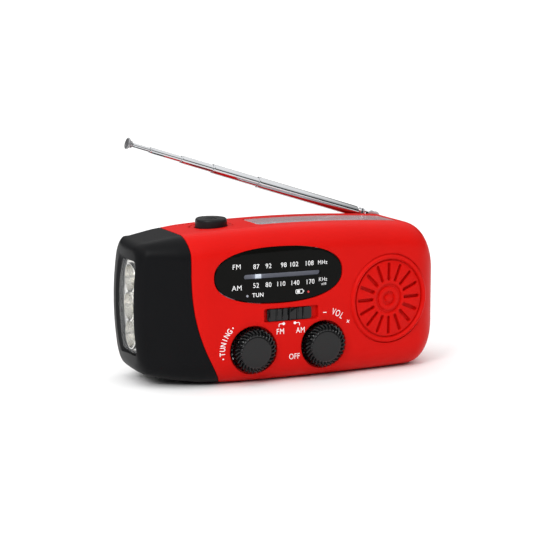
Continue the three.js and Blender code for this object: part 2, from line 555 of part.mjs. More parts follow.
function antennaKnuckle() {
  const eye = solid(rodY(1.7, -1.5, 1.5, pinAway, 0, 16));
  const neck = solid(box(1.7, pinAway, -1.5, 1.5, -1.6, 1.6));
  const ears = [[1.35, 2.1], [-2.1, -1.35]].map(([z0, z1]) =>
    join(solid(rodZ(1.7, z0, z1, 0, 0, 16)), solid(box(0, 2.6, -1.6, 1.6, z0, z1))),
  );
  const pin = solid(rodZ(0.7, -1.6, 1.6, 0, 0, 12));
  const bridge = solid(box(2, 2.6, -1.6, 1.6, -2.1, 2.1));
  const body = join(eye, neck, bridge, ...ears, pin);
  return body.subtract(solid(rodY(1.1, -3, 3, pinAway, 0, 12)));
}

function antennaBase() {
  const eye = solid(rodZ(1.65, -1.05, 1.05, 0, 0, 16)).subtract(solid(rodZ(1, -3, 3, 0, 0, 12)));
  const neck = solid(box(-3, -1.3, -1.1, 1.1, -1.05, 1.05));
  const { d, from, to } = SECTIONS[0];
  const [r, bore] = [d / 2, d / 2 - 0.2];
  const profile = [[0, 2.8], [r - 0.3, 2.8], [r, 3.4], [r, to], [bore, to], [bore, from + 0.6], [0, from + 0.6]];
  return join(eye, neck, solid(alongAerial(profile)));
}

place("antenna_mount", antennaMount(), STEEL);
place("antenna_knuckle", antennaKnuckle(), CHROME, aerial);
place("antenna_tube_1", antennaBase(), CHROME, aerial);
for (const { name, d, from, to } of SECTIONS.slice(1)) {
  const [r, bore] = [d / 2, d / 2 - 0.2];
  place(name, alongAerial([[bore, from], [r, from], [r, to], [bore, to]]), CHROME, aerial);
}
place("antenna_rod", alongAerial([[0, ROD.from], [ROD.d / 2, ROD.from], [ROD.d / 2, ROD.to], [0, ROD.to]]), CHROME, aerial);
const tipProfile = [[0, 104.3], [1.4, 104.3], [1.4, 105.2], [2.3, 105.9], [2.3, 106.4], [1.2, 106.6], [0, 106.6]];
place("antenna_tip", alongAerial(tipProfile, 16), CHROME, aerial);

// ---- charging sockets and their rubber flap ----
function usbSocket() {
  const { y, usbZ } = PORT;
  const can = solid(box(49, 61.2, y - 3.4, y + 3.4, usbZ - 7, usbZ + 7));
  return can.subtract(solid(box(50.5, 62, y - 2.55, y + 2.55, usbZ - 6.15, usbZ + 6.15)));
}

function microSocket() {
  const { y, microZ } = PORT;
  const can = solid(box(54, 61.2, y - 4.2, y + 4.2, microZ - 1.9, microZ + 1.9));
  return can.subtract(solid(box(55, 62, y - 3.5, y + 3.5, microZ - 0.95, microZ + 0.95)));
}

const flap = plateX(roundedRect(PORT.y0, PORT.y1, PORT.z0, PORT.z1, 2), 50, 70);
place("usb_socket", usbSocket(), STEEL);
place("micro_usb_socket", microSocket(), STEEL);
place("port_cover", skin(0, 1.6).intersect(solid(flap)), RUBBER);

export default root;
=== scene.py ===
"""Looks of the hand-crank emergency radio: smooth shells, fine detail, materials, light and camera.

Everything is drawn in millimetres in the frame of the CAD part and scaled to metres at the end.
"""

import json
import math

import bmesh
import bpy
import numpy as np
from mathutils import Matrix, Vector


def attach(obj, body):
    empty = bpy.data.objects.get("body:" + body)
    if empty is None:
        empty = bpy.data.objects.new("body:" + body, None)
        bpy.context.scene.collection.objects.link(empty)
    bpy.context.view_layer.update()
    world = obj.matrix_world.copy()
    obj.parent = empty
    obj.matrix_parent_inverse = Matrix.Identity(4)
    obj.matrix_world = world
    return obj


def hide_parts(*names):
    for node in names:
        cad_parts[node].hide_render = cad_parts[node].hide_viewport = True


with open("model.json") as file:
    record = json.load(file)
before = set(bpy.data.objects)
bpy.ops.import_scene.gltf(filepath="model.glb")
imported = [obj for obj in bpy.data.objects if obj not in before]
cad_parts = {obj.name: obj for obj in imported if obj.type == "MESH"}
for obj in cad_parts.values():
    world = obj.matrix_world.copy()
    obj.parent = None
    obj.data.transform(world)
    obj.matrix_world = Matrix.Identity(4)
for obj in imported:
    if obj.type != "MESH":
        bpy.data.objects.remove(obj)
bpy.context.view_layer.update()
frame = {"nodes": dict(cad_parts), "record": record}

# ---- driving dimensions in millimetres ----
# They are the CAD part's own, apart from the torch window, 0.9 mm narrower here, and FLUTE_DEPTH,
# which is 0.7 in the CAD.
MM = 0.001
LENGTH, DEPTH, HEIGHT = 128.0, 45.0, 60.0
END = LENGTH / 2
WALL = 2.0
GAP = 0.3
FIT = 0.15
CORNER, TORCH_CORNER = 9.6, 5.4
RIGHT_TOP, RIGHT_BOTTOM, RIGHT_SIDE = 16.3, 13.5, 12.2
PARTING_Y = 10.0
TUNING = (-19.9, 13.3)
VOLUME = (9.4, 13.3)
KNOB_R, KNOB_FLUTES, FLUTE_DEPTH, FLUTE_SWIRL = 8.9, 30, 0.75, 0.2
KNOB_FACE_Y, KNOB_FLOOR_Y = -25.2, -19.6
WINDOW_X, WINDOW_Z, WINDOW_A, WINDOW_B, WINDOW_POWER = -9.1, 42.0, 26.3, 10.7, 2.35
SLOT_X0, SLOT_X1, SLOT_Z, SLOT_H = -23.8, 8.1, 41.85, 1.8
POINTER_X = -16.7
BAND_X0, BAND_X1, BAND_Z0, BAND_Z1 = -15.5, 7.1, 23.9, 29.0
CAP_X0, CAP_X1 = -14.1, 4.3
BAND_RIBS = ((-13.4, 0.5), (-10.3, 0.5), (-7.8, 0.5), (-5.2, 1.1), (-1.6, 0.5), (0.8, 0.5))
SPEAKER_X, SPEAKER_Z, SPEAKER_RING, SPEAKER_TILT = 38.7, 29.1, 17.7, 0.102
SPEAKER_SLOTS = 16
SOLAR = (-12.0, 48.0, -9.0, 8.0)
BUTTON_X, BUTTON_Y, BUTTON_R = -28.2, 0.5, 6.2
TORCH = (-8.7, 8.4, 12.0, 48.0)
TORCH_CUPS_Z = (19.2, 30.0, 40.8)
TORCH_MID_Y = (TORCH[0] + TORCH[1]) / 2
CRANK_X, CRANK_Z, CRANK_REACH, CRANK_Y0, CRANK_Y1 = 8.0, 30.0, 42.0, 17.8, 22.2
DISH_R, DISH_Y = 44.5, 17.3
FOLD_X, FOLD_Y = -27.9, 20.2
KNOB_AXIS_Y = 22.2
GROOVE_X1, GROOVE_Y, GROOVE_Z = 52.5, 12.3, 54.6
AERIAL_Y, AERIAL_TILT = 15.0, math.radians(17.8)
ELBOW_X, ELBOW_Z = 44.2, 58.2
SECTIONS = ((4.5, 6.5, 49.2), (3.8, 27.9, 69.4), (3.1, 43.2, 83.2), (2.4, 58.2, 96.7))
ROD_D, ROD_FROM, ROD_TO = 1.7, 65.3, 104.0
PORT_Y, PORT_Y0, PORT_Y1, PORT_Z0, PORT_Z1 = 1.9, -5.0, 8.8, 16.5, 38.7
USB_Z, MICRO_Z = 30.4, 20.0
REAR_SCREWS = ((-39.5, 45.0), (54.5, 41.5), (54.5, 14.5))
OUT = 70.0  # beyond the case on the sides that cutting blocks leave it by


# ---- surfaces of the case ----
def taper(x):
    """How far the case has narrowed towards the torch end."""
    return np.maximum(0.0, (-np.asarray(x, float) - 38) / 26) ** 1.3


def front_at(x):
    return -DEPTH / 2 + 4.78 * ((x + 5) / END) ** 2 + 7.13 * taper(x)


def back_at(x):
    return DEPTH / 2 - 1.84 * (x / END) ** 2 - 1.73 * taper(x)


def top_at(x):
    return HEIGHT - 3.62 * ((x - 2.3) / END) ** 2 - 1.55 * taper(x)


def bottom_at(x):
    return 1.47 * (np.maximum(0.0, np.abs(x - 13.9) - 29) / 35) ** 2 + 2.08 * taper(x)


def corner_at(x):
    return CORNER - (CORNER - TORCH_CORNER) * min(1.0, max(0.0, (-44 - x) / 16))


def end_bow(y, z):
    """How far the torch end falls back from its middle."""
    return 2.41 * ((z - 30) / 25) ** 2 + 1.66 * (y / 20) ** 2


def fall_back(r, past):
    """How far a rounded corner of radius r has fallen back at a distance past its start."""
    past = np.maximum(0.0, past)
    return r - np.sqrt(np.maximum(0.0, r * r - past * past))


def seam_at(z):
    """X of the seam between the torch cap and the red case."""
    low = np.maximum(0.0, 1 - z / 45) ** 2.4
    return -44.2 + 12.95 * low - 1.2 * np.maximum(0.0, (z - 52) / 8)


def screw_head_y(x):
    return float(back_at(x) - fall_back(RIGHT_SIDE, x - (END - RIGHT_SIDE)) - 1.2)


# ---- outlines, as loops of (u, v) points ----
def circle(u, v, r, steps=96):
    a = np.linspace(0, 2 * np.pi, steps, endpoint=False)
    return np.column_stack([u + r * np.cos(a), v + r * np.sin(a)])


def rounded_rect(u0, u1, v0, v1, r, grow=0.0, arc=8, step=2.0):
    """A rounded rectangle grown outwards, with the same number of points at every growth."""
    runs = [max(1, int((v1 - v0) / step)), max(1, int((u1 - u0) / step))] * 2
    u0, u1, v0, v1, r = u0 - grow, u1 + grow, v0 - grow, v1 + grow, max(0.01, r + grow)
    corners = [(u1 - r, v0 + r, -90), (u1 - r, v1 - r, 0), (u0 + r, v1 - r, 90), (u0 + r, v0 + r, 180)]
    arcs = []
    for cu, cv, start in corners:
        a = np.radians(start + 90 * np.arange(arc + 1) / arc)
        arcs.append(np.column_stack([cu + r * np.cos(a), cv + r * np.sin(a)]))
    loop = []
    for k in range(4):
        loop.append(arcs[k])
        share = (np.arange(1, runs[k]) / runs[k])[:, None]
        loop.append(arcs[k][-1] * (1 - share) + arcs[(k + 1) % 4][0] * share)
    return np.concatenate(loop)


def window_outline(grow):
    a = np.linspace(0, 2 * np.pi, 160, endpoint=False)
    bend = lambda c: np.sign(c) * np.abs(c) ** (2 / WINDOW_POWER)
    u = WINDOW_X + (WINDOW_A + grow) * bend(np.cos(a))
    v = WINDOW_Z + (WINDOW_B + grow) * bend(np.sin(a))
    return np.column_stack([u, v])


def band_round(circles, grow=0.0, steps=120):
    """A belt stretched round some (u, v, r) circles."""
    loop = []
    for a in np.linspace(0, 2 * np.pi, steps, endpoint=False):
        u, v, r = max(circles, key=lambda c: c[0] * math.cos(a) + c[1] * math.sin(a) + c[2])
        loop.append((u + (r + grow) * math.cos(a), v + (r + grow) * math.sin(a)))
    return np.array(loop)


# ---- skins: (points, faces) ----
AXIS_ORDER = {"x": (2, 0, 1), "y": (0, 2, 1), "z": (0, 1, 2)}


def lay(outline, height, axis):
    """A loop of (u, v) points placed at a height, or at one height for each point, along an axis."""
    points = np.column_stack([outline, np.broadcast_to(height, len(outline))])
    return points[:, AXIS_ORDER[axis]]


def loft(levels, ring=False):
    """A closed skin through loops of points, with a fan over each end unless it closes on itself."""
    n = len(levels[0])
    points = np.concatenate(levels)
    faces = []
    for k in range(len(levels) - (0 if ring else 1)):
        a, b = k * n, ((k + 1) % len(levels)) * n
        for i in range(n):
            j = (i + 1) % n
            faces.append((a + i, a + j, b + j, b + i))
    if not ring:
        points = np.concatenate([points, [levels[0].mean(axis=0)], [levels[-1].mean(axis=0)]])
        last = (len(levels) - 1) * n
        for i in range(n):
            j = (i + 1) % n
            faces.append((j, i, len(points) - 2))
            faces.append((last + i, last + j, len(points) - 1))
    return points, faces


def turned(profile, u=0.0, v=0.0, axis="y", steps=64, ring=False):
    """A turned piece from (radius, height) points along its axis."""
    return loft([lay(circle(u, v, max(r, 0.001), steps), h, axis) for r, h in profile], ring)


def column(outline, low, high, axis):
    return loft([lay(outline, low, axis), lay(outline, high, axis)])


def block(x0, x1, y0, y1, z0, z1):
    corners = np.array([(x0, y0), (x1, y0), (x1, y1), (x0, y1)])
    return column(corners, z0, z1, "z")


def pocket(outline, surface, axis, depth, lip=0.3, into=1.0):
    """A cutter that follows a surface, with a rounded lip. outline(grow) gives the loop."""
    levels = []
    turns = [(lip, -3.0)]
    for deg in (0, 22, 45, 67, 90):
        a = math.radians(deg)
        turns.append((lip * (1 - math.sin(a)), lip * (1 - math.cos(a))))
    turns.append((0.0, depth))
    for grow, down in turns:
        loop = outline(grow)
        levels.append(lay(loop, surface(loop) + into * down, axis))
    return loft(levels)


on_front = lambda loop: front_at(loop[:, 0])
on_top = lambda loop: top_at(loop[:, 0])
level = lambda height: lambda loop: np.full(len(loop), float(height))


def case_ring(x, shrink, inset, arc, side):
    """One cross-section of the case: a rounded rectangle in the YZ plane, moved in by inset."""
    y0 = front_at(x) + inset + shrink + fall_back(RIGHT_SIDE - inset, x - (END - RIGHT_SIDE))
    y1 = back_at(x) - inset - shrink - fall_back(RIGHT_SIDE - inset, x - (END - RIGHT_SIDE))
    z0 = bottom_at(x) + inset + shrink + fall_back(RIGHT_BOTTOM - inset, x - (END - RIGHT_BOTTOM))
    z1 = top_at(x) - inset - shrink - fall_back(RIGHT_TOP - inset, x - (END - RIGHT_TOP))
    r = min(corner_at(x) - inset, (y1 - y0) * 0.48, (z1 - z0) * 0.48)
    a = np.radians(90 * np.arange(arc + 1) / arc)
    loop = []
    corners = [(y1 - r, z0 + r, -90), (y1 - r, z1 - r, 0), (y0 + r, z1 - r, 90), (y0 + r, z0 + r, 180)]
    arcs = []
    for cy, cz, start in corners:
        turn = a + math.radians(start)
        arcs.append(np.column_stack([cy + r * np.cos(turn), cz + r * np.sin(turn)]))
    for k in range(4):
        loop.append(arcs[k])
        share = (np.arange(1, side) / side)[:, None]
        loop.append(arcs[k][-1] * (1 - share) + arcs[(k + 1) % 4][0] * share)
    yz = np.concatenate(loop)
    bow = np.clip((-48 - x) / 16, 0, 1) * end_bow(yz[:, 0], yz[:, 1])
    return np.column_stack([x + bow, yz])


def case_body(inset=0.0, step=1.0, arc=14, side=10):
    """The whole case as one closed skin, moved in by inset."""
    fillet = max(0.4, 3 - inset)
    left = -END + inset
    stations = [(left, fillet + shrink) for shrink in (12, 9, 6, 3, 1)]
    for deg in range(0, 90, 10):
        a = math.radians(deg)
        stations.append((left + fillet * (1 - math.cos(a)), fillet * (1 - math.sin(a))))
    start = END - RIGHT_TOP
    for x in np.linspace(left + fillet, start, int((start - left) / step)):
        stations.append((x, 0.0))
    for deg in np.arange(3, 90, 3) * 1.0:
        stations.append((start + (RIGHT_TOP - inset - 0.01) * math.sin(math.radians(deg)), 0.0))
    stations.append((END - inset - 0.01, 0.0))
    return loft([case_ring(x, shrink, inset, arc, side) for x, shrink in stations])


# ---- solid modelling ----
def solid(skin):
    points, faces = skin
    mesh = bpy.data.meshes.new("work")
    mesh.from_pydata([tuple(p) for p in points], [], faces)
    shaped = bmesh.new()
    shaped.from_mesh(mesh)
    bmesh.ops.remove_doubles(shaped, verts=shaped.verts, dist=1e-4)
    bmesh.ops.recalc_face_normals(shaped, faces=shaped.faces)
    shaped.to_mesh(mesh)
    shaped.free()
    made = bpy.data.objects.new("work", mesh)
    bpy.context.scene.collection.objects.link(made)
    return made


def combine(base, operation, others):
    for other in others:
        step = base.modifiers.new("step", "BOOLEAN")
        step.operation = operation
        step.solver = "MANIFOLD"
        step.object = other
    settle(base)
    for other in others:
        bpy.data.objects.remove(other)
    return base


def settle(made):
    """Applies the modifiers of an object."""
    graph = bpy.context.evaluated_depsgraph_get()
    mesh = bpy.data.meshes.new_from_object(made.evaluated_get(graph))
    made.modifiers.clear()
    made.data = mesh


def cut(base, *skins):
    return combine(base, "DIFFERENCE", [solid(s) for s in skins])


def keep(base, *skins):
    return combine(base, "INTERSECT", [solid(s) for s in skins])


def add(base, *skins):
    return combine(base, "UNION", [solid(s) for s in skins])


def soften(made, width):
    """Rounds the sharp edges of a simple piece."""
    edge = made.modifiers.new("edge", "BEVEL")
    edge.width = width
    edge.segments = 2
    edge.limit_method = "ANGLE"
    edge.angle_limit = math.radians(35)
    settle(made)
    return made


def move(made, matrix):
    made.data.transform(matrix)
    return made


def piece(name, made, body, slot, nodes=(), crease=32, finish=None):
    """Scales a finished piece to metres, shades it smooth between its creases and rides it on its body."""
    made.name = name
    made.data.name = name
    made.data.transform(Matrix.Scale(MM, 4))
    shaped = bmesh.new()
    shaped.from_mesh(made.data)
    bmesh.ops.remove_doubles(shaped, verts=shaped.verts, dist=2e-6)
    for face in shaped.faces:
        face.smooth = True
    for edge in shaped.edges:
        edge.smooth = edge.calc_face_angle(0.0) < math.radians(crease)
    shaped.to_mesh(made.data)
    shaped.free()
    made.data.materials.clear()
    made.data.materials.append(finish or FINISH[slot])
    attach(made, body)
    if nodes:
        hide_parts(*nodes)
    return made


# ---- materials ----
class Shader:
    """A principled material under construction, in object coordinates."""

    def __init__(self, name):
        self.material = bpy.data.materials.new(name)
        self.material.use_nodes = True
        self.nodes = self.material.node_tree.nodes
        self.links = self.material.node_tree.links
        self.surface = self.nodes["Principled BSDF"]
        self.place = self.nodes.new("ShaderNodeTexCoord").outputs["Object"]

    def noise(self, size, detail):
        """Noise whose grains are about size millimetres wide."""
        made = self.nodes.new("ShaderNodeTexNoise")
        made.inputs["Scale"].default_value = 1 / (size * MM)
        made.inputs["Detail"].default_value = detail
        self.links.new(self.place, made.inputs["Vector"])
        return made.outputs["Fac"]

    def blend(self, share, low, high):
        """A colour between two, or between another colour output and one."""
        made = self.nodes.new("ShaderNodeMix")
        made.data_type = "RGBA"
        self.links.new(share, made.inputs["Factor"])
        for socket, value in ((made.inputs[6], low), (made.inputs[7], high)):
            if isinstance(value, bpy.types.NodeSocket):
                self.links.new(value, socket)
            else:
                socket.default_value = (*value, 1)
        return made.outputs[2]

    def spread(self, value, low, high, start=0.3, end=0.7):
        made = self.nodes.new("ShaderNodeMapRange")
        self.links.new(value, made.inputs["Value"])
        made.inputs["From Min"].default_value = start
        made.inputs["From Max"].default_value = end
        made.inputs["To Min"].default_value = low
        made.inputs["To Max"].default_value = high
        return made.outputs["Result"]

    def relief(self, value, depth):
        """Bumps, at most depth millimetres deep."""
        made = self.nodes.new("ShaderNodeBump")
        made.inputs["Distance"].default_value = depth * MM
        self.links.new(value, made.inputs["Height"])
        self.links.new(made.outputs["Normal"], self.surface.inputs["Normal"])

    def wire(self, value, socket):
        self.links.new(value, self.surface.inputs[socket])

    def set(self, **values):
        for socket, value in values.items():
            self.surface.inputs[socket.replace("_", " ")].default_value = value


def grained(name, color, roughness, mottle=0.06, grain=0.25, depth=0.01, metallic=0.0, specular=0.5):
    """A moulded, painted or plated surface: grain in its relief, gloss and colour."""
    shader = Shader(name)
    fine = shader.noise(grain, 4.0)
    broad = shader.noise(14.0, 2.0)
    low = tuple(c * (1 - mottle) for c in color)
    high = tuple(min(1.0, c * (1 + mottle)) for c in color)
    shader.wire(shader.blend(shader.spread(broad, 0, 1), low, high), "Base Color")
    shader.wire(shader.spread(fine, roughness * 0.88, min(1.0, roughness * 1.12)), "Roughness")
    shader.relief(fine, depth)
    shader.set(Metallic=metallic, Specular_IOR_Level=specular)
    return shader


def clear_plastic():
    shader = grained("clear_plastic", (0.93, 0.95, 0.97), 0.04, depth=0.001, grain=2.0)
    shader.set(IOR=1.45, Alpha=0.06, Specular_IOR_Level=0.35)
    return shader


def solar_glass():
    """The clear cover of the solar panel, with a soft sheen."""
    shader = grained("solar_glass", (0.75, 0.77, 0.8), 0.12, depth=0.002, grain=0.6)
    shader.set(IOR=1.6, Alpha=0.35)
    return shader


def silicon():
    """Dark cells crossed by thin silver conductors."""
    shader = grained("silicon", (0.03, 0.035, 0.07), 0.25, depth=0.002, grain=0.3)
    base = shader.surface.inputs["Base Color"].links[0].from_socket
    lines = shader.nodes.new("ShaderNodeTexBrick")
    lines.offset = 0.0
    lines.inputs["Scale"].default_value = 1 / (10 * MM)
    lines.inputs["Mortar Size"].default_value = 0.03
    lines.inputs["Brick Width"].default_value = 1.0
    lines.inputs["Row Height"].default_value = 0.25
    lines.inputs["Color2"].default_value = lines.inputs["Color1"].default_value
    shader.links.new(shader.place, lines.inputs["Vector"])
    shader.wire(shader.blend(lines.outputs["Fac"], base, (0.55, 0.56, 0.58)), "Base Color")
    return shader


def red_shell():
    """Red case with a very fine satin grain."""
    return grained("red_plastic", RED, 0.42, mottle=0.025, grain=0.22, depth=0.006, specular=0.07)


def painted_glow_plastic(name, look, painted_glow):
    """A plastic that glows: painted light that lifts it out of the shade in the dial's slot, with no lamp
    behind it.
    """
    shader = grained(name, **look)
    shader.surface.inputs["Emission Color"].default_value = (*painted_glow, 1)
    shader.surface.inputs["Emission Strength"].default_value = 1.0
    return shader.material


RED = (0.61, 0.0055, 0.0035)
PLAIN_FINISHES = {
    "black_plastic": dict(
        color=(0.0042, 0.0043, 0.005), roughness=0.42, grain=0.2, depth=0.012, specular=0.075
    ),
    "black_gloss": dict(
        color=(0.004, 0.004, 0.0036), roughness=0.09, grain=1.5, depth=0.0015, specular=0.06
    ),
    "chrome": dict(
        color=(0.82, 0.83, 0.85), roughness=0.1, metallic=1.0, grain=0.3, depth=0.001, mottle=0.04
    ),
    "steel": dict(color=(0.5, 0.5, 0.52), roughness=0.3, metallic=1.0, grain=0.15, depth=0.004),
    "white_plastic": dict(color=(0.86, 0.87, 0.88), roughness=0.45, grain=0.3, depth=0.006),
    "grey_plastic": dict(color=(0.24, 0.245, 0.27), roughness=0.5, grain=0.3, depth=0.01),
    "reflector": dict(
        color=(0.74, 0.73, 0.69), roughness=0.1, metallic=1.0, grain=0.9, depth=0.08, mottle=0.15
    ),
    "circuit_board": dict(color=(0.02, 0.12, 0.045), roughness=0.4, grain=0.6, depth=0.02, mottle=0.2),
    "copper": dict(color=(0.6, 0.24, 0.1), roughness=0.3, metallic=1.0, grain=0.3, depth=0.03),
    "ferrite": dict(color=(0.04, 0.04, 0.045), roughness=0.6, grain=0.3, depth=0.02, mottle=0.15),
    "paper_cone": dict(color=(0.03, 0.03, 0.032), roughness=0.85, grain=0.4, depth=0.04, mottle=0.2),
    "rubber": dict(color=(0.009, 0.0095, 0.01), roughness=0.7, grain=0.25, depth=0.02, specular=0.25),
    "red_lamp": dict(color=(0.55, 0.01, 0.01), roughness=0.15, grain=0.5, depth=0.002),
}
FINISH = {slot: grained(slot, **look).material for slot, look in PLAIN_FINISHES.items()}
FINISH["red_plastic"] = red_shell().material
FINISH["clear_plastic"] = clear_plastic().material
FINISH["silicon"] = silicon().material
# The grey plastic of the dial strip and the white needle glow: painted light against the shade in the
# dial's slot, not a lamp.
STRIP_PAINTED_GLOW, NEEDLE_PAINTED_GLOW = (0.1, 0.105, 0.13), (0.6, 0.66, 0.75)
FINISH["grey_plastic"] = painted_glow_plastic("grey_plastic", PLAIN_FINISHES["grey_plastic"], STRIP_PAINTED_GLOW)
NEEDLE_WITH_PAINTED_GLOW = painted_glow_plastic("needle_white_painted_glow", PLAIN_FINISHES["white_plastic"], NEEDLE_PAINTED_GLOW)
SPECIAL_FINISHES = {
    "chrome_tube": dict(color=(0.55, 0.56, 0.575), roughness=0.1, metallic=1.0, grain=0.3, depth=0.001),
    "chrome_tip": dict(color=(0.3, 0.3, 0.31), roughness=0.3, grain=0.3, metallic=0.8, specular=0.5),
    "button_black": dict(
        color=(0.009, 0.0092, 0.0105), roughness=0.4, grain=0.2, depth=0.012, specular=0.2
    ),
    "knob_black": dict(
        color=(0.0016, 0.0018, 0.0022), roughness=0.2, grain=0.25, depth=0.008, specular=0.36
    ),
}
CHROME_TUBE, CHROME_TIP, BUTTON_BLACK, KNOB_BLACK = (
    grained(name, **look).material for name, look in SPECIAL_FINISHES.items()
)
LEGEND = grained("legend_white", (0.92, 0.93, 0.93), 0.5, grain=0.2, depth=0.002, mottle=0.02).material


def finish_frame():
    """Gives every CAD node the procedural material of its slot."""
    for part in frame["record"]["subparts"]:
        mesh = frame["nodes"][part["node"]].data
        mesh.materials.clear()
        mesh.materials.append(FINISH[part["material_slot"]])


# ---- case ----
def cap_side(offset):
    """Everything on the torch side of the seam."""
    z = np.linspace(-2, 62, 65)
    seam = np.column_stack([seam_at(z) + offset, z])
    loop = np.concatenate([[(-OUT, -2)], seam, [(-OUT, 62)]])
    return column(loop, -40, 40, "y")


def groove():
    """The channel along the top rear edge that the closed aerial lies in."""
    return block(-OUT, GROOVE_X1, GROOVE_Y, 40, GROOVE_Z, OUT)


def groove_back():
    """The floor and wall under that channel, before the channel is cut."""
    return block(-OUT, GROOVE_X1 + WALL, PARTING_Y, 40, GROOVE_Z - WALL, OUT)


def recess(centre):
    """The round well that a knob sits in, with a soft lip."""
    outline = lambda grow: circle(*centre, KNOB_R + 0.6 + grow, 128)
    depth = KNOB_FLOOR_Y + GAP - on_front(outline(0.0))
    return pocket(outline, on_front, "y", depth, lip=0.35)


def shell():
    return cut(solid(case_body()), case_body(WALL, step=2.5, arc=6, side=3))


def backing(*skins):
    """Solid backing for pockets, trimmed to the outside of the case."""
    made = solid(skins[0])
    if len(skins) > 1:
        made = add(made, *skins[1:])
    return combine(made, "INTERSECT", [solid(case_body())])


def front_shell():
    wells = (TUNING, VOLUME)
    bosses = [turned([(KNOB_R + 2, -20.9), (KNOB_R + 2, KNOB_FLOOR_Y + WALL)], *k) for k in wells]
    pillars = [turned([(3, -19), (3, PARTING_Y - 0.5)], x, z, steps=24) for x, z in REAR_SCREWS]
    floor = block(59.6, 63, PORT_Y0 - 1.5, PORT_Y1 + 0.8, PORT_Z0 - 1.5, PORT_Z1 + 1.5)
    behind = block(-OUT, OUT, PARTING_Y - FIT, 40, -5, OUT)
    made = cut(shell(), behind, cap_side(FIT))
    made = combine(made, "UNION", [backing(*bosses, *pillars, floor)])
    made = cut(made, behind)
    hub = lambda k: turned([(2.9, -30), (2.9, -10)], *k, steps=32)
    port = rounded_rect(PORT_Y0, PORT_Y1, PORT_Z0, PORT_Z1, 2, GAP)
    speaker = lambda grow: circle(0, 0, SPEAKER_RING + 0.1 + grow, 160)
    band = lambda grow: rounded_rect(BAND_X0, BAND_X1, BAND_Z0, BAND_Z1, 0.7, grow)
    solar = lambda grow: rounded_rect(*SOLAR, 1.4, grow + GAP)
    dish = lambda grow: circle(BUTTON_X, BUTTON_Y, 8.3 + grow)
    hole = lambda grow: circle(BUTTON_X, BUTTON_Y, BUTTON_R + GAP + grow)
    return cut(
        made,
        pocket(lambda grow: window_outline(grow + GAP), on_front, "y", 6.0, lip=0.25),
        pocket(band, on_front, "y", 1.75, lip=0.45),
        block(-9.5, 4.5, -30, -15, 25.3, 27.6),
        recess(TUNING),
        recess(VOLUME),
        hub(TUNING),
        hub(VOLUME),
        speaker_place(pocket(speaker, level(0), "y", 8, lip=0.1)),
        pocket(solar, on_top, "z", 6.0, lip=0.3, into=-1.0),
        pocket(dish, on_top, "z", 0.35, lip=0.9, into=-1.0),
        pocket(hole, on_top, "z", 6.0, lip=0.2, into=-1.0),
        column(port, 61.4, OUT, "x"),
        block(50, OUT, PORT_Y - 3.7, PORT_Y + 3.7, USB_Z - 7.3, USB_Z + 7.3),
        block(50, OUT, PORT_Y - 4.5, PORT_Y + 4.5, MICRO_Z - 2.2, MICRO_Z + 2.2),
        *[turned([(1.6, -8), (1.6, 14)], x, z, steps=24) for x, z in REAR_SCREWS],
    )


def rear_cover():
    dish_back = turned([(DISH_R + WALL, DISH_Y - WALL), (DISH_R + WALL, 40)], CRANK_X, CRANK_Z, steps=160)
    made = combine(shell(), "UNION", [backing(dish_back), backing(groove_back())])
    made = cut(made, block(-OUT, OUT, -40, PARTING_Y + FIT, -5, OUT), cap_side(FIT))
    dish = [(DISH_R - 0.6, DISH_Y), (DISH_R - 0.2, DISH_Y + 0.15), (DISH_R, DISH_Y + 0.5), (DISH_R, 40)]
    holes = []
    for x, z in REAR_SCREWS:
        head = screw_head_y(x)
        seat = [(2.7, head - GAP), (2.7, head + 0.9), (3.0, head + 1.4), (3.0, 40)]
        holes.append(turned(seat, x, z, steps=48))
        holes.append(turned([(1.6, 5), (1.6, 40)], x, z, steps=24))
    axle = turned([(3.3, 5), (3.3, 40)], CRANK_X, CRANK_Z, steps=48)
    return cut(made, turned(dish, CRANK_X, CRANK_Z, steps=200), groove(), axle, *holes)


def torch_outline(grow, far=0.0, share=1.0):
    """The torch window's outline, bowed out on its far side, and pushed out there by far.

    share draws it in towards its middle line.
    """
    half = (TORCH[3] - TORCH[2]) / 2
    loop = rounded_rect(*TORCH, 2.2, grow)
    rise = (loop[:, 1] - TORCH_CUPS_Z[1]) / half
    beyond = np.clip((loop[:, 0] - TORCH_MID_Y) / 8, 0, 1)
    loop[:, 0] += beyond * (far + 1.8 * (1 - rise**2))
    loop[:, 1] += 0.03 * far * rise * half * beyond
    loop[:, 0] = TORCH_MID_Y + (loop[:, 0] - TORCH_MID_Y) * share
    return loop


def torch_level(grow, depth, far=0.0, share=1.0):
    """A loop of the torch window at some depth below the bowed end of the case."""
    loop = torch_outline(grow, far, share)
    return lay(loop, -END + end_bow(loop[:, 0], loop[:, 1]) + depth, "x")


def torch_cap():
    """The cap, with a window whose far side slopes outwards."""
    made = combine(shell(), "UNION", [backing(groove_back())])
    made = keep(made, cap_side(-FIT))
    bezel = [torch_level(0.3, -3, 4.0), torch_level(0.3, -0.3, 2.6), torch_level(0.15, 0.3, 1.6)]
    bezel += [torch_level(0.0, 0.9, 0.2), torch_level(0.0, 1.4), lay(torch_outline(0.0), -55, "x")]
    return cut(made, loft(bezel), groove())


def build_case():
    piece("shell_front", front_shell(), "case", "red_plastic", ["front_shell"])
    piece("shell_rear", rear_cover(), "case", "red_plastic", ["rear_cover"])
    piece("cap_torch", torch_cap(), "case", "black_plastic", ["torch_cap"])
    for i, (x, z) in enumerate(REAR_SCREWS):
        head = screw_head_y(x)
        screw = [(1.3, -6), (1.3, head), (2.4, head)]
        screw += [(2.4, head + 0.6), (2.0, head + 0.95), (1.2, head + 1)]
        made = solid(turned(screw, x, z, steps=48))
        cross = [block(x - 1.4, x + 1.4, head + 0.35, head + 2, z - 0.28, z + 0.28)]
        cross.append(block(x - 0.28, x + 0.28, head + 0.35, head + 2, z - 1.4, z + 1.4))
        piece(f"screw_rear_{i + 1}", cut(made, *cross), "case", "steel", [f"rear_screw_{i + 1}"])


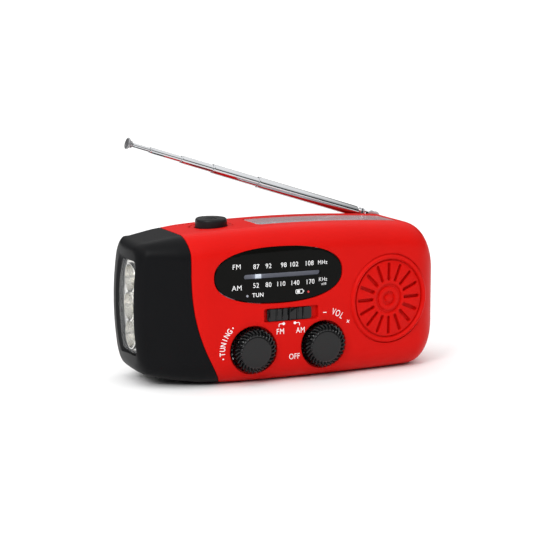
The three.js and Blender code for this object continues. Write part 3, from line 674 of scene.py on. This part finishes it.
# ---- torch ----
def torch_reflector():
    """The mirrored block behind the window, with a rimmed cup for each lamp."""
    levels = [torch_level(-GAP, 2.1, share=share) for share in (0.02, 0.5, 1.0)]
    levels += [lay(torch_outline(grow), x, "x") for grow, x in ((-GAP, -59.9), (0.6, -59.9), (0.6, -51))]
    made = solid(loft(levels))
    rims, cups = [], []
    for z in TORCH_CUPS_Z:
        lip = -61.95 + end_bow(0, z)
        rim = [(6.0, lip + 2), (6.0, lip), (5.85, lip - 0.3), (5.6, lip - 0.4)]
        rims.append(turned(rim, TORCH_MID_Y, z, "x", 64))
        bowl = [(2.6 + 2.8 * math.sqrt(t), -51.6 + (lip + 51.2) * t) for t in np.linspace(0, 1, 16)]
        cups.append(turned([(2.6, -50.4)] + bowl + [(5.4, lip - 2)], TORCH_MID_Y, z, "x", 64))
    return cut(keep(add(made, *rims), column(torch_outline(-GAP), -OUT, -50, "x")), *cups)


def build_torch():
    piece("torch_mirror", torch_reflector(), "case", "reflector", ["torch_reflector"])
    lens = [torch_level(-GAP, 1.75, share=0.02), torch_level(-GAP, 1.75), torch_level(-GAP, 1.0)]
    lens += [torch_level(-GAP - 0.3, 0.7), torch_level(-GAP - 0.3, 0.6, share=0.9)]
    lens += [torch_level(-GAP - 0.3, 0.6, share=share) for share in (0.5, 0.02)]
    piece("torch_window", solid(loft(lens)), "case", "clear_plastic", ["torch_lens"])
    dome = [(2.5, -49.5), (2.5, -50.2), (2.2, -50.4), (2.2, -55.2)]
    dome += [(2.2 * math.cos(a), -55.2 - 2.7 * math.sin(a)) for a in np.radians(np.arange(10, 90, 10))]
    for i, z in enumerate(TORCH_CUPS_Z):
        made = solid(turned(dome, TORCH_MID_Y, z, "x", 48))
        nodes = [f"torch_led_{i + 1}"]
        piece(f"led_torch_{i + 1}", made, "case", "clear_plastic", nodes, finish=FINISH["white_plastic"])


# ---- dial ----
def dial_window():
    plate = cut(solid(case_body(0.06)), case_body(1.6, step=2.0))
    edge = []
    steps = [(-0.55, -2.0), (-0.55, 0.05), (-0.3, 0.08), (-0.12, 0.18)]
    steps += [(-0.02, 0.34), (0.0, 0.5), (0.0, 3.0)]
    for grow, down in steps:
        loop = window_outline(grow)
        edge.append(lay(loop, front_at(loop[:, 0]) + down, "y"))
    slot = lambda grow: rounded_rect(
        SLOT_X0, SLOT_X1, SLOT_Z - SLOT_H / 2, SLOT_Z + SLOT_H / 2, SLOT_H / 2 - 0.01, grow, step=1.0
    )
    return cut(keep(plate, loft(edge)), pocket(slot, on_front, "y", 4.0, lip=0.15))


def dial_pointer():
    bar = block(POINTER_X - 1.1, POINTER_X + 1.1, -19.3, -18.6, 32.4, 45)
    arm = block(POINTER_X - 1.1, POINTER_X + 1.1, -19, -12.4, 31.6, 33)
    return soften(add(solid(bar), arm), 0.12)


def build_dial():
    piece("dial_glass", dial_window(), "case", "black_gloss", ["dial_window"], crease=40)
    piece("dial_needle", dial_pointer(), "pointer", "white_plastic", ["dial_pointer"], finish=NEEDLE_WITH_PAINTED_GLOW)


# ---- controls ----
def knob(centre, shaft_end):
    """A knob with a flat face, and a grip of leaning ridges whose valleys drop below them."""
    per_flute = 12
    a = np.linspace(0, 2 * np.pi, KNOB_FLUTES * per_flute, endpoint=False)
    share = (a * KNOB_FLUTES / (2 * np.pi)) % 1.0
    valley = np.clip(1.25 * np.sin(np.pi * share) ** 1.4, 0, 1)
    # radius, distance below the face, and how deep the valleys go inwards and backwards
    profile = [(2.0, 0.02, 0, 0), (5.4, 0.0, 0, 0), (5.85, 0.03, 0, 0), (6.1, 0.14, 0, 0.05)]
    profile += [(6.4, 0.26, 0.1, 0.35), (6.9, 0.36, 0.2, 0.75)]
    profile += [(7.5, 0.5, 0.4, 0.85), (8.1, 0.75, 0.7, 0.8)]
    profile += [(8.5, 1.05, 0.9, 0.6), (8.78, 1.5, 1.0, 0.3), (8.88, 2.0, 1.0, 0.1), (8.9, 4.4, 1.0, 0)]
    profile += [(8.7, 5.4, 0.7, 0), (2.6, 5.5, 0, 0), (2.6, shaft_end - KNOB_FACE_Y, 0, 0)]
    levels = []
    for radius, down, inward, back in profile:
        r = radius - FLUTE_DEPTH * inward * valley
        turn = a + FLUTE_SWIRL * np.clip((radius - 6.0) / (KNOB_R - 6.0), 0, 1)
        if down > 5:
            turn = a
        loop = np.column_stack([centre[0] + r * np.cos(turn), centre[1] + r * np.sin(turn)])
        levels.append(lay(loop, KNOB_FACE_Y + down + back * valley, "y"))
    return solid(loft(levels))


def band_switch_cap():
    """The sliding cap: a slab with finger ribs and a tall ridge in the middle."""
    outline = rounded_rect(CAP_X0, CAP_X1, BAND_Z0 + 0.25, BAND_Z1 - 0.25, 0.8)
    slab = column(outline, -22, -21.2, "y")
    stem = block(-6.4, -3.4, -21.5, -17.6, 25.6, 27.3)
    ribs = []
    for x, rise in BAND_RIBS:
        half = 0.34
        top = [(x - half, -21.9), (x - half, -21.9 - rise * 0.7), (x - half * 0.45, -22 - rise)]
        top += [(2 * x - u, v) for u, v in reversed(top)]
        ribs.append(column(np.array(top), BAND_Z0 + 0.25, BAND_Z1 - 0.25, "z"))
    return soften(add(solid(slab), stem, *ribs), 0.1)


def torch_button():
    profile = [(7.5, 55.4), (7.5, 56.4), (6.2, 56.4), (6.2, 60.7)]
    profile += [(5.2 + math.cos(a), 60.9 + 1.3 * math.sin(a)) for a in np.radians(np.arange(0, 91, 10))]
    profile += [(4.6, 62.17), (3.6, 62.02), (2.4, 61.93), (1.0, 61.9)]
    made = solid(turned(profile, BUTTON_X, BUTTON_Y, "z", 96))
    ring = [(1.75, 61.7), (1.75, 62.05), (1.9, 62.12), (2.15, 62.12), (2.3, 62.05), (2.3, 61.7)]
    bar = block(BUTTON_X - 0.25, BUTTON_X + 0.25, BUTTON_Y - 3.3, BUTTON_Y - 0.6, 61.6, 62.1)
    return add(made, turned(ring, BUTTON_X, BUTTON_Y, "z", 48, ring=True), bar)


def build_controls():
    piece("knob_tuning", knob(TUNING, -6), "tuning", "black_plastic", ["tuning_knob"], 38, KNOB_BLACK)
    piece("knob_volume", knob(VOLUME, -10.5), "volume", "black_plastic", ["volume_knob"], 38, KNOB_BLACK)
    piece("cap_band", band_switch_cap(), "band", "black_plastic", ["band_switch_cap"], finish=KNOB_BLACK)
    piece("button_torch", torch_button(), "button", "black_plastic", ["torch_button"], finish=BUTTON_BLACK)


# ---- speaker ----
def speaker_place(skin):
    """Moves a skin drawn round the speaker's own axis to face square out of the front."""
    points, faces = skin
    turn = np.array(Matrix.Rotation(SPEAKER_TILT, 3, "Z"))
    return points @ turn.T + np.array([SPEAKER_X, float(front_at(SPEAKER_X)), SPEAKER_Z]), faces


def speaker_grille():
    """Two ring grooves round a boss, blind radial slots, and a raised ring with a groove inside it."""
    rim = SPEAKER_RING
    profile = [(0.01, -0.05), (1.1, -0.05), (1.4, 0.05), (1.55, 0.8), (2.75, 0.8), (2.95, 0.05), (3.2, 0.0)]
    profile += [(4.3, 0.0), (4.55, 0.08), (4.7, 0.75), (5.8, 0.75), (5.95, 0.08), (6.2, 0.0)]
    profile += [(14.7, 0.0), (14.95, 0.1), (15.1, 0.75), (15.5, 0.75), (15.65, 0.0), (15.8, -0.3)]
    profile += [(16.1, -0.62), (16.5, -0.76), (16.9, -0.66), (17.25, -0.3), (17.45, 0.3), (rim, 0.45)]
    profile += [(rim, 2.0), (0.01, 2.0)]
    made = solid(turned(profile, steps=192))
    outline = lambda grow: rounded_rect(-0.7, 0.7, 7, 14.3, 0.68, grow)
    points, faces = pocket(outline, level(0), "y", 1.6, lip=0.2)
    slots = []
    for i in range(SPEAKER_SLOTS):
        turn = np.array(Matrix.Rotation(i / SPEAKER_SLOTS * 2 * math.pi, 3, "Y"))
        slots.append((points @ turn.T, faces))
    made = cut(made, *slots)
    place = Matrix.Translation((SPEAKER_X, float(front_at(SPEAKER_X)), SPEAKER_Z))
    return move(made, place @ Matrix.Rotation(SPEAKER_TILT, 4, "Z"))


# ---- solar panel and charging flap ----
def solar_plate(depth0, depth1, margin):
    """A plate that follows the top of the case between two depths below it."""
    plate = cut(solid(case_body(depth0)), case_body(depth1, step=2.0))
    edge = []
    for grow, down in ((-0.3, -2.0), (-0.3, depth0), (0.0, depth0 + 0.3), (0.0, 5.0)):
        loop = rounded_rect(*SOLAR, 1.2, grow - margin)
        edge.append(lay(loop, top_at(loop[:, 0]) - down, "z"))
    return keep(plate, loft(edge))


def port_cover():
    plate = cut(solid(case_body(0.0)), case_body(1.6, step=2.0))
    outline = rounded_rect(PORT_Y0, PORT_Y1, PORT_Z0, PORT_Z1, 2)
    made = keep(plate, column(outline, 50, OUT, "x"))
    nail = rounded_rect(PORT_Y0 - 1, PORT_Y0 + 0.9, 24, 31, 0.9)
    return cut(made, column(nail, 63.2, OUT, "x"))


def build_top_and_end():
    glass = solar_glass().material
    piece("solar_glass", solar_plate(0.2, 1.45, 0), "case", "clear_plastic", ["solar_cover"], finish=glass)
    piece("solar_cells", solar_plate(1.75, 2.35, 1), "case", "silicon", ["solar_cell"])
    piece("flap_port", port_cover(), "flap", "rubber", ["port_cover"])
    piece("grille_speaker", speaker_grille(), "case", "red_plastic", ["speaker_grille"], crease=40)


# ---- crank ----
def crank_arm():
    ends = [(CRANK_X, CRANK_Z, 9.0), (CRANK_X - CRANK_REACH + 7, CRANK_Z, 7.0)]
    steps = [(-0.4, CRANK_Y0), (0.0, CRANK_Y0 + 0.4), (0.0, CRANK_Y1 - 0.8)]
    steps += [(-0.24, CRANK_Y1 - 0.24), (-0.8, CRANK_Y1)]
    made = solid(loft([lay(band_round(ends, grow), y, "y") for grow, y in steps]))
    slot = lambda grow: rounded_rect(-32.6, -8.4, CRANK_Z - 4.3, CRANK_Z + 4.3, 2, grow)
    made = cut(
        made,
        pocket(slot, level(CRANK_Y1), "y", 8, lip=0.35, into=-1.0),
        turned([(3.3, 10), (3.3, 30)], CRANK_X, CRANK_Z, steps=48),
    )
    return add(made, turned([(0.8, CRANK_Z - 5), (0.8, CRANK_Z + 5)], FOLD_X, FOLD_Y, "z", 24))


def knob_stem():
    cheek = band_round([(FOLD_X, FOLD_Y, 2.2), (FOLD_X + 1.6, KNOB_AXIS_Y, 1.9)], 0, 48)
    made = solid(column(cheek, CRANK_Z - 3.8, CRANK_Z + 3.8, "z"))
    spindle = turned([(1.4, FOLD_X + 2), (1.4, -10.2)], KNOB_AXIS_Y, CRANK_Z, "x", 32)
    head = turned([(2.3, -10.4), (2.3, -9.9), (1.9, -9.6)], KNOB_AXIS_Y, CRANK_Z, "x", 32)
    return cut(add(made, spindle, head), turned([(1.1, 20), (1.1, 40)], FOLD_X, FOLD_Y, "z", 32))


def crank_knob():
    """The grip, with shallow rings along it."""
    profile = [(1.7, -10.8), (3.3, -10.8), (3.6, -11.1), (3.7, -11.6)]
    for k in range(6):
        x = -12.4 - k * 1.8
        profile += [(3.7, x), (3.45, x - 0.35), (3.45, x - 0.75), (3.7, x - 1.1)]
    profile += [(3.7, -23), (3.6, -23.6), (3.3, -24), (1.7, -24)]
    return solid(turned(profile, KNOB_AXIS_Y, CRANK_Z, "x", 64, ring=True))


def build_crank():
    piece("arm_crank", crank_arm(), "crank", "black_plastic", ["crank_arm"])
    profile = [(0.01, 22.5), (6.5, 22.5), (6.5, 23.1), (6.2, 23.5), (5.6, 23.7), (0.01, 23.7)]
    cap = solid(turned(profile, CRANK_X, CRANK_Z, steps=96))
    piece("cap_crank", cap, "crank", "black_plastic", ["crank_cap"])
    piece("stem_knob", knob_stem(), "stem", "steel", ["knob_stem"])
    piece("grip_crank", crank_knob(), "grip", "black_plastic", ["crank_knob"])


# ---- aerial, drawn lying along -X from the elbow and then lifted ----
LIFT = Matrix.Translation((ELBOW_X, AERIAL_Y, ELBOW_Z)) @ Matrix.Rotation(AERIAL_TILT, 4, "Y")


def along(profile, steps=48, ring=False):
    """A turned piece along the aerial, from (radius, distance from the elbow)."""
    return turned([(r, -d) for r, d in profile], 0, 0, "x", steps, ring)


def tube(d, start, end, closed):
    """A thin tube with a rolled lip at its open end, and a solid foot where it is closed."""
    r, bore = d / 2, d / 2 - 0.2
    lip = [(r, end - 1.0), (r - 0.05, end - 0.8), (r - 0.05, end - 0.62), (r, end - 0.45), (r, end - 0.15)]
    lip += [(r - 0.06, end - 0.04), (r - 0.14, end), (bore, end - 0.1)]
    if closed:
        profile = [(0.01, 2.8), (r - 0.3, 2.8), (r, 3.4)] + lip + [(bore, start + 0.6), (0.01, start + 0.6)]
        return along(profile)
    return along([(bore, start), (r, start)] + lip, ring=True)


def antenna_base():
    d, start, end = SECTIONS[0]
    eye = turned([(1.65, -1.05), (1.65, 1.05)], 0, 0, "z", 48)
    made = cut(solid(eye), turned([(1.0, -3), (1.0, 3)], 0, 0, "z", 32))
    return add(made, block(-3, -1.3, -1.1, 1.1, -1.05, 1.05), tube(d, start, end, True))


def build_aerial():
    base = move(antenna_base(), LIFT)
    piece("tube_1", base, "section_1", "chrome", ["antenna_tube_1"], finish=CHROME_TUBE)
    for i, (d, start, end) in enumerate(SECTIONS[1:]):
        made = move(solid(tube(d, start, end, False)), LIFT)
        nodes = [f"antenna_tube_{i + 2}"]
        piece(f"tube_{i + 2}", made, f"section_{i + 2}", "chrome", nodes, finish=CHROME_TUBE)
    profile = [(ROD_D / 2, ROD_FROM), (ROD_D / 2, ROD_TO - 0.1), (ROD_D / 2 - 0.1, ROD_TO)]
    rod = move(solid(along(profile)), LIFT)
    piece("rod_aerial", rod, "section_5", "chrome", ["antenna_rod"], finish=CHROME_TUBE)
    profile = [(1.1, 104.3), (1.35, 104.4), (1.4, 104.7), (1.4, 105.1), (1.6, 105.35), (2.1, 105.75)]
    profile += [(2.28, 105.95), (2.3, 106.2), (2.22, 106.4), (2.05, 106.48), (1.6, 106.42)]
    profile += [(1.2, 106.5), (0.6, 106.58)]
    tip = move(solid(along(profile, 64)), LIFT)
    piece("tip_aerial", tip, "section_5", "chrome", ["antenna_tip"], finish=CHROME_TIP)


# ---- legends ----
PRINT = 0.05  # how far a legend's ink stands either side of its place
CASE_PROUD, GLASS_PROUD = 0.02, 0.06
CAPITAL = 0.69  # a capital's height, as a share of the font's size


def drawn(text, height, bold=0.0):
    """The flat shape of some text, centred, with capitals of the given height, as (points, faces)."""
    curve = bpy.data.curves.new("legend", "FONT")
    curve.body = text
    curve.size = height / CAPITAL
    curve.offset = bold
    curve.space_character = 1.08
    curve.align_x = "CENTER"
    curve.align_y = "CENTER"
    curve.extrude = PRINT
    made = bpy.data.objects.new("legend", curve)
    bpy.context.scene.collection.objects.link(made)
    graph = bpy.context.evaluated_depsgraph_get()
    mesh = bpy.data.meshes.new_from_object(made.evaluated_get(graph))
    points = np.array([v.co[:] for v in mesh.vertices])
    faces = [tuple(p.vertices) for p in mesh.polygons]
    bpy.data.objects.remove(made)
    return points, faces


def printed(skin, x, z, proud, turn=0.0, squeeze=1.0):
    """Lays a flat skin on the front of the case at (x, z), turned by an angle in degrees."""
    points, faces = skin
    c, s = math.cos(math.radians(turn)), math.sin(math.radians(turn))
    u, v = points[:, 0] * squeeze, points[:, 1]
    px, pz = x + u * c - v * s, z + u * s + v * c
    return np.column_stack([px, front_at(px) + proud - points[:, 2], pz]), faces


def stroke(points, width):
    """A flat printed line through some (u, v) points."""
    points = np.array(points, float)
    left, right = [], []
    for i, p in enumerate(points):
        ahead = points[min(i + 1, len(points) - 1)] - points[max(i - 1, 0)]
        side = np.array([-ahead[1], ahead[0]]) / (np.hypot(*ahead) or 1) * width / 2
        left.append(p + side)
        right.append(p - side)
    loop = np.array(left + right[::-1])
    n = len(points)
    flat = np.column_stack([loop, np.full(len(loop), PRINT)])
    under = np.column_stack([loop, np.full(len(loop), -PRINT)])
    faces = [(i, i + 1, 2 * n - 2 - i, 2 * n - 1 - i) for i in range(n - 1)]
    faces += [tuple(2 * n + k for k in reversed(face)) for face in faces[: n - 1]]
    for i in range(2 * n):
        j = (i + 1) % (2 * n)
        faces.append((i, i + 2 * n, j + 2 * n, j))
    return np.concatenate([flat, under]), faces


def dot(r):
    return column(circle(0, 0, r, 24), -PRINT, PRINT, "z")


def merged(skins):
    points, faces, base = [], [], 0
    for skin_points, skin_faces in skins:
        points.append(skin_points)
        faces += [tuple(base + k for k in face) for face in skin_faces]
        base += len(skin_points)
    return np.concatenate(points), faces


def arc_text(letters, centre, radius, start, end, height, bold, squeeze):
    """Letters along an arc round a knob, from one angle to another in degrees, standing outwards."""
    skins = []
    for i, letter in enumerate(letters):
        a = start + (end - start) * i / (len(letters) - 1)
        x = centre[0] + radius * math.cos(math.radians(a))
        z = centre[1] + radius * math.sin(math.radians(a))
        shape = dot(0.33) if letter == "." else drawn(letter, height, bold)
        skins.append(printed(shape, x, z, CASE_PROUD, a - 90, squeeze))
    return skins


def case_legends():
    """The legends on the case. Their places and sizes are read from the photograph."""
    case = CASE_PROUD
    skins = []
    words = (("FM", -9.0, 19.9, 0.85), ("AM", -0.5, 19.8, 0.82), ("OFF", -3.1, 9.7, 0.8))
    for text, x, z, squeeze in words:
        skins.append(printed(drawn(text, 2.15), x, z, case, squeeze=squeeze))
    skins.append(printed(stroke([(-0.75, 0), (0.75, 0)], 0.3), 9.9, 26.0, case))
    skins.append(printed(stroke([(-0.75, 0), (0.75, 0)], 0.24), 20.1, 21.6, case, 33))
    skins.append(printed(stroke([(0, -0.75), (0, 0.75)], 0.24), 20.1, 21.6, case, 33))
    skins += arc_text("VOL", VOLUME, 13.3, 71.0, 54.0, 2.5, 0.0, 0.68)
    skins += arc_text(".TUNING.", TUNING, 12.6, 191, 132, 2.1, 0.03, 0.8)
    for x, way in ((-7.6, -1), (-2.9, 1)):
        skins.append(printed(dot(0.55), x, 22.9, case))
        hook = [(0, 0), (1.5, 0.05), (1.75, 0), (1.9, -0.15), (1.95, -0.35), (1.95, -1.1)]
        skins.append(printed(stroke([(way * u, v) for u, v in hook], 0.28), x, 22.9, case))
    return solid_print(merged(skins))


def solid_print(skin):
    points, faces = skin
    mesh = bpy.data.meshes.new("legend")
    mesh.from_pydata([tuple(p) for p in points], [], faces)
    made = bpy.data.objects.new("legend", mesh)
    bpy.context.scene.collection.objects.link(made)
    return made


FM_ROW = (("87", -18.9), ("92", -13.9), ("98", -7.6), ("102", -3.4), ("108", 3.1), ("MHz", 8.8))
AM_ROW = (("52", -19.0), ("80", -13.9), ("110", -8.8), ("140", -2.9), ("170", 3.5), ("KHz", 9.0))


def dial_legends():
    """The scales, the unit legends and the battery sign on the window."""
    glass = GLASS_PROUD
    skins = [printed(drawn("FM", 1.9, -0.01), -26.8, 45.9, glass)]
    skins.append(printed(drawn("AM", 1.9, -0.01), -26.7, 37.8, glass))
    for text, x in FM_ROW:
        height = 1.55 if text == "MHz" else 1.8
        skins.append(printed(drawn(text, height), x, 45.6, glass, squeeze=0.93))
    for text, x in AM_ROW:
        height, z = (1.45, 39.0) if text == "KHz" else (1.8, 38.4)
        skins.append(printed(drawn(text, height), x, z, glass, squeeze=0.93))
    skins.append(printed(drawn("x10", 0.9, 0.02), 9.4, 37.2, glass))
    skins.append(printed(drawn("TUN", 1.5, 0.02), -18.2, 34.7, glass))
    frame_of_cell = rounded_rect(-1.6, 1.4, -0.75, 0.75, 0.35, arc=4, step=3)
    closed = np.concatenate([frame_of_cell, frame_of_cell[:1]])
    skins.append(printed(stroke(closed, 0.22), -0.9, 35.0, glass))
    skins.append(printed(stroke([(-1.1, 0), (0.1, 0)], 0.95), -0.9, 35.0, glass))
    skins.append(printed(stroke([(1.6, 0), (1.85, 0)], 0.6), -0.9, 35.0, glass))
    return solid_print(merged(skins))


def build_legends():
    piece("legend_case", case_legends(), "case", "white_plastic", finish=LEGEND)
    piece("legend_dial", dial_legends(), "case", "white_plastic", finish=LEGEND)
    charge = solid_print(printed(dot(0.45), 2.8, 34.6, GLASS_PROUD))
    piece("lamp_charge", charge, "case", "red_lamp", ["charge_led"])
    tune = solid_print(printed(dot(0.45), -22.5, 34.6, GLASS_PROUD))
    piece("lamp_tuning", tune, "case", "red_lamp", ["tuning_led"], finish=FINISH["grey_plastic"])


# ---- stage ----
def aimed(made, target):
    way = Vector(target) - made.location
    made.rotation_euler = way.to_track_quat("-Z", "Y").to_euler()


def softbox(name, place, target, width, height, power):
    light = bpy.data.lights.new(name, "AREA")
    light.shape = "RECTANGLE"
    light.size, light.size_y = width, height
    light.energy = power
    made = bpy.data.objects.new(name, light)
    made.location = place
    bpy.context.scene.collection.objects.link(made)
    aimed(made, target)


def floor():
    mesh = bpy.data.meshes.new("floor")
    half = 40.0
    corners = [(-half, -half, 0), (half, -half, 0), (half, half, 0), (-half, half, 0)]
    mesh.from_pydata(corners, [], [(0, 1, 2, 3)])
    made = bpy.data.objects.new("floor", mesh)
    made.location.z = -0.0002
    bpy.context.scene.collection.objects.link(made)
    white = (0.93, 0.93, 0.93)
    paint = grained("floor_white", white, 0.9, mottle=0.004, grain=3.0, depth=0.0, specular=0.05)
    mesh.materials.append(paint.material)


def sky(tree):
    """A soft overhead dome that falls off towards the horizon."""
    nodes, links = tree.nodes, tree.links
    way = nodes.new("ShaderNodeTexCoord").outputs["Generated"]
    split = nodes.new("ShaderNodeSeparateXYZ")
    ramp = nodes.new("ShaderNodeMapRange")
    ramp.interpolation_type = "SMOOTHSTEP"
    ramp.inputs["From Min"].default_value = 0.2
    ramp.inputs["From Max"].default_value = 0.65
    ramp.inputs["To Min"].default_value = 0.06
    ramp.inputs["To Max"].default_value = 1.5
    side = nodes.new("ShaderNodeMapRange")
    side.inputs["From Min"].default_value = -1
    side.inputs["To Min"].default_value = 1.25
    side.inputs["To Max"].default_value = 0.75
    both = nodes.new("ShaderNodeMath")
    both.operation = "MULTIPLY"
    links.new(way, split.inputs["Vector"])
    links.new(split.outputs["Z"], ramp.inputs["Value"])
    links.new(split.outputs["X"], side.inputs["Value"])
    links.new(ramp.outputs["Result"], both.inputs[0])
    links.new(side.outputs["Result"], both.inputs[1])
    links.new(both.outputs["Value"], nodes["Background"].inputs["Strength"])
    nodes["Background"].inputs["Color"].default_value = (1, 1, 1, 1)


def studio():
    scene = bpy.context.scene
    scene.view_settings.view_transform = "Standard"
    world = bpy.data.worlds.new("studio")
    world.use_nodes = True
    scene.world = world
    sky(world.node_tree)
    softbox("key_light", (-0.95, -0.75, 0.8), (0, 0, 0.03), 0.4, 0.4, 6.5)
    floor()


CAMERA_PLACE = (-0.283396, -0.640615, 0.154971)
CAMERA_AIM = (-0.003511, 0.003465, 0.040956)


def camera():
    lens = bpy.data.cameras.new("camera")
    lens.sensor_width = 36.0
    lens.lens = 121.64
    lens.clip_start = 0.01
    lens.clip_end = 200
    made = bpy.data.objects.new("camera", lens)
    made.location = CAMERA_PLACE
    bpy.context.scene.collection.objects.link(made)
    aimed(made, CAMERA_AIM)
    bpy.context.scene.camera = made


finish_frame()
build_case()
build_torch()
build_dial()
build_controls()
build_top_and_end()
build_crank()
build_aerial()
build_legends()
studio()
camera()
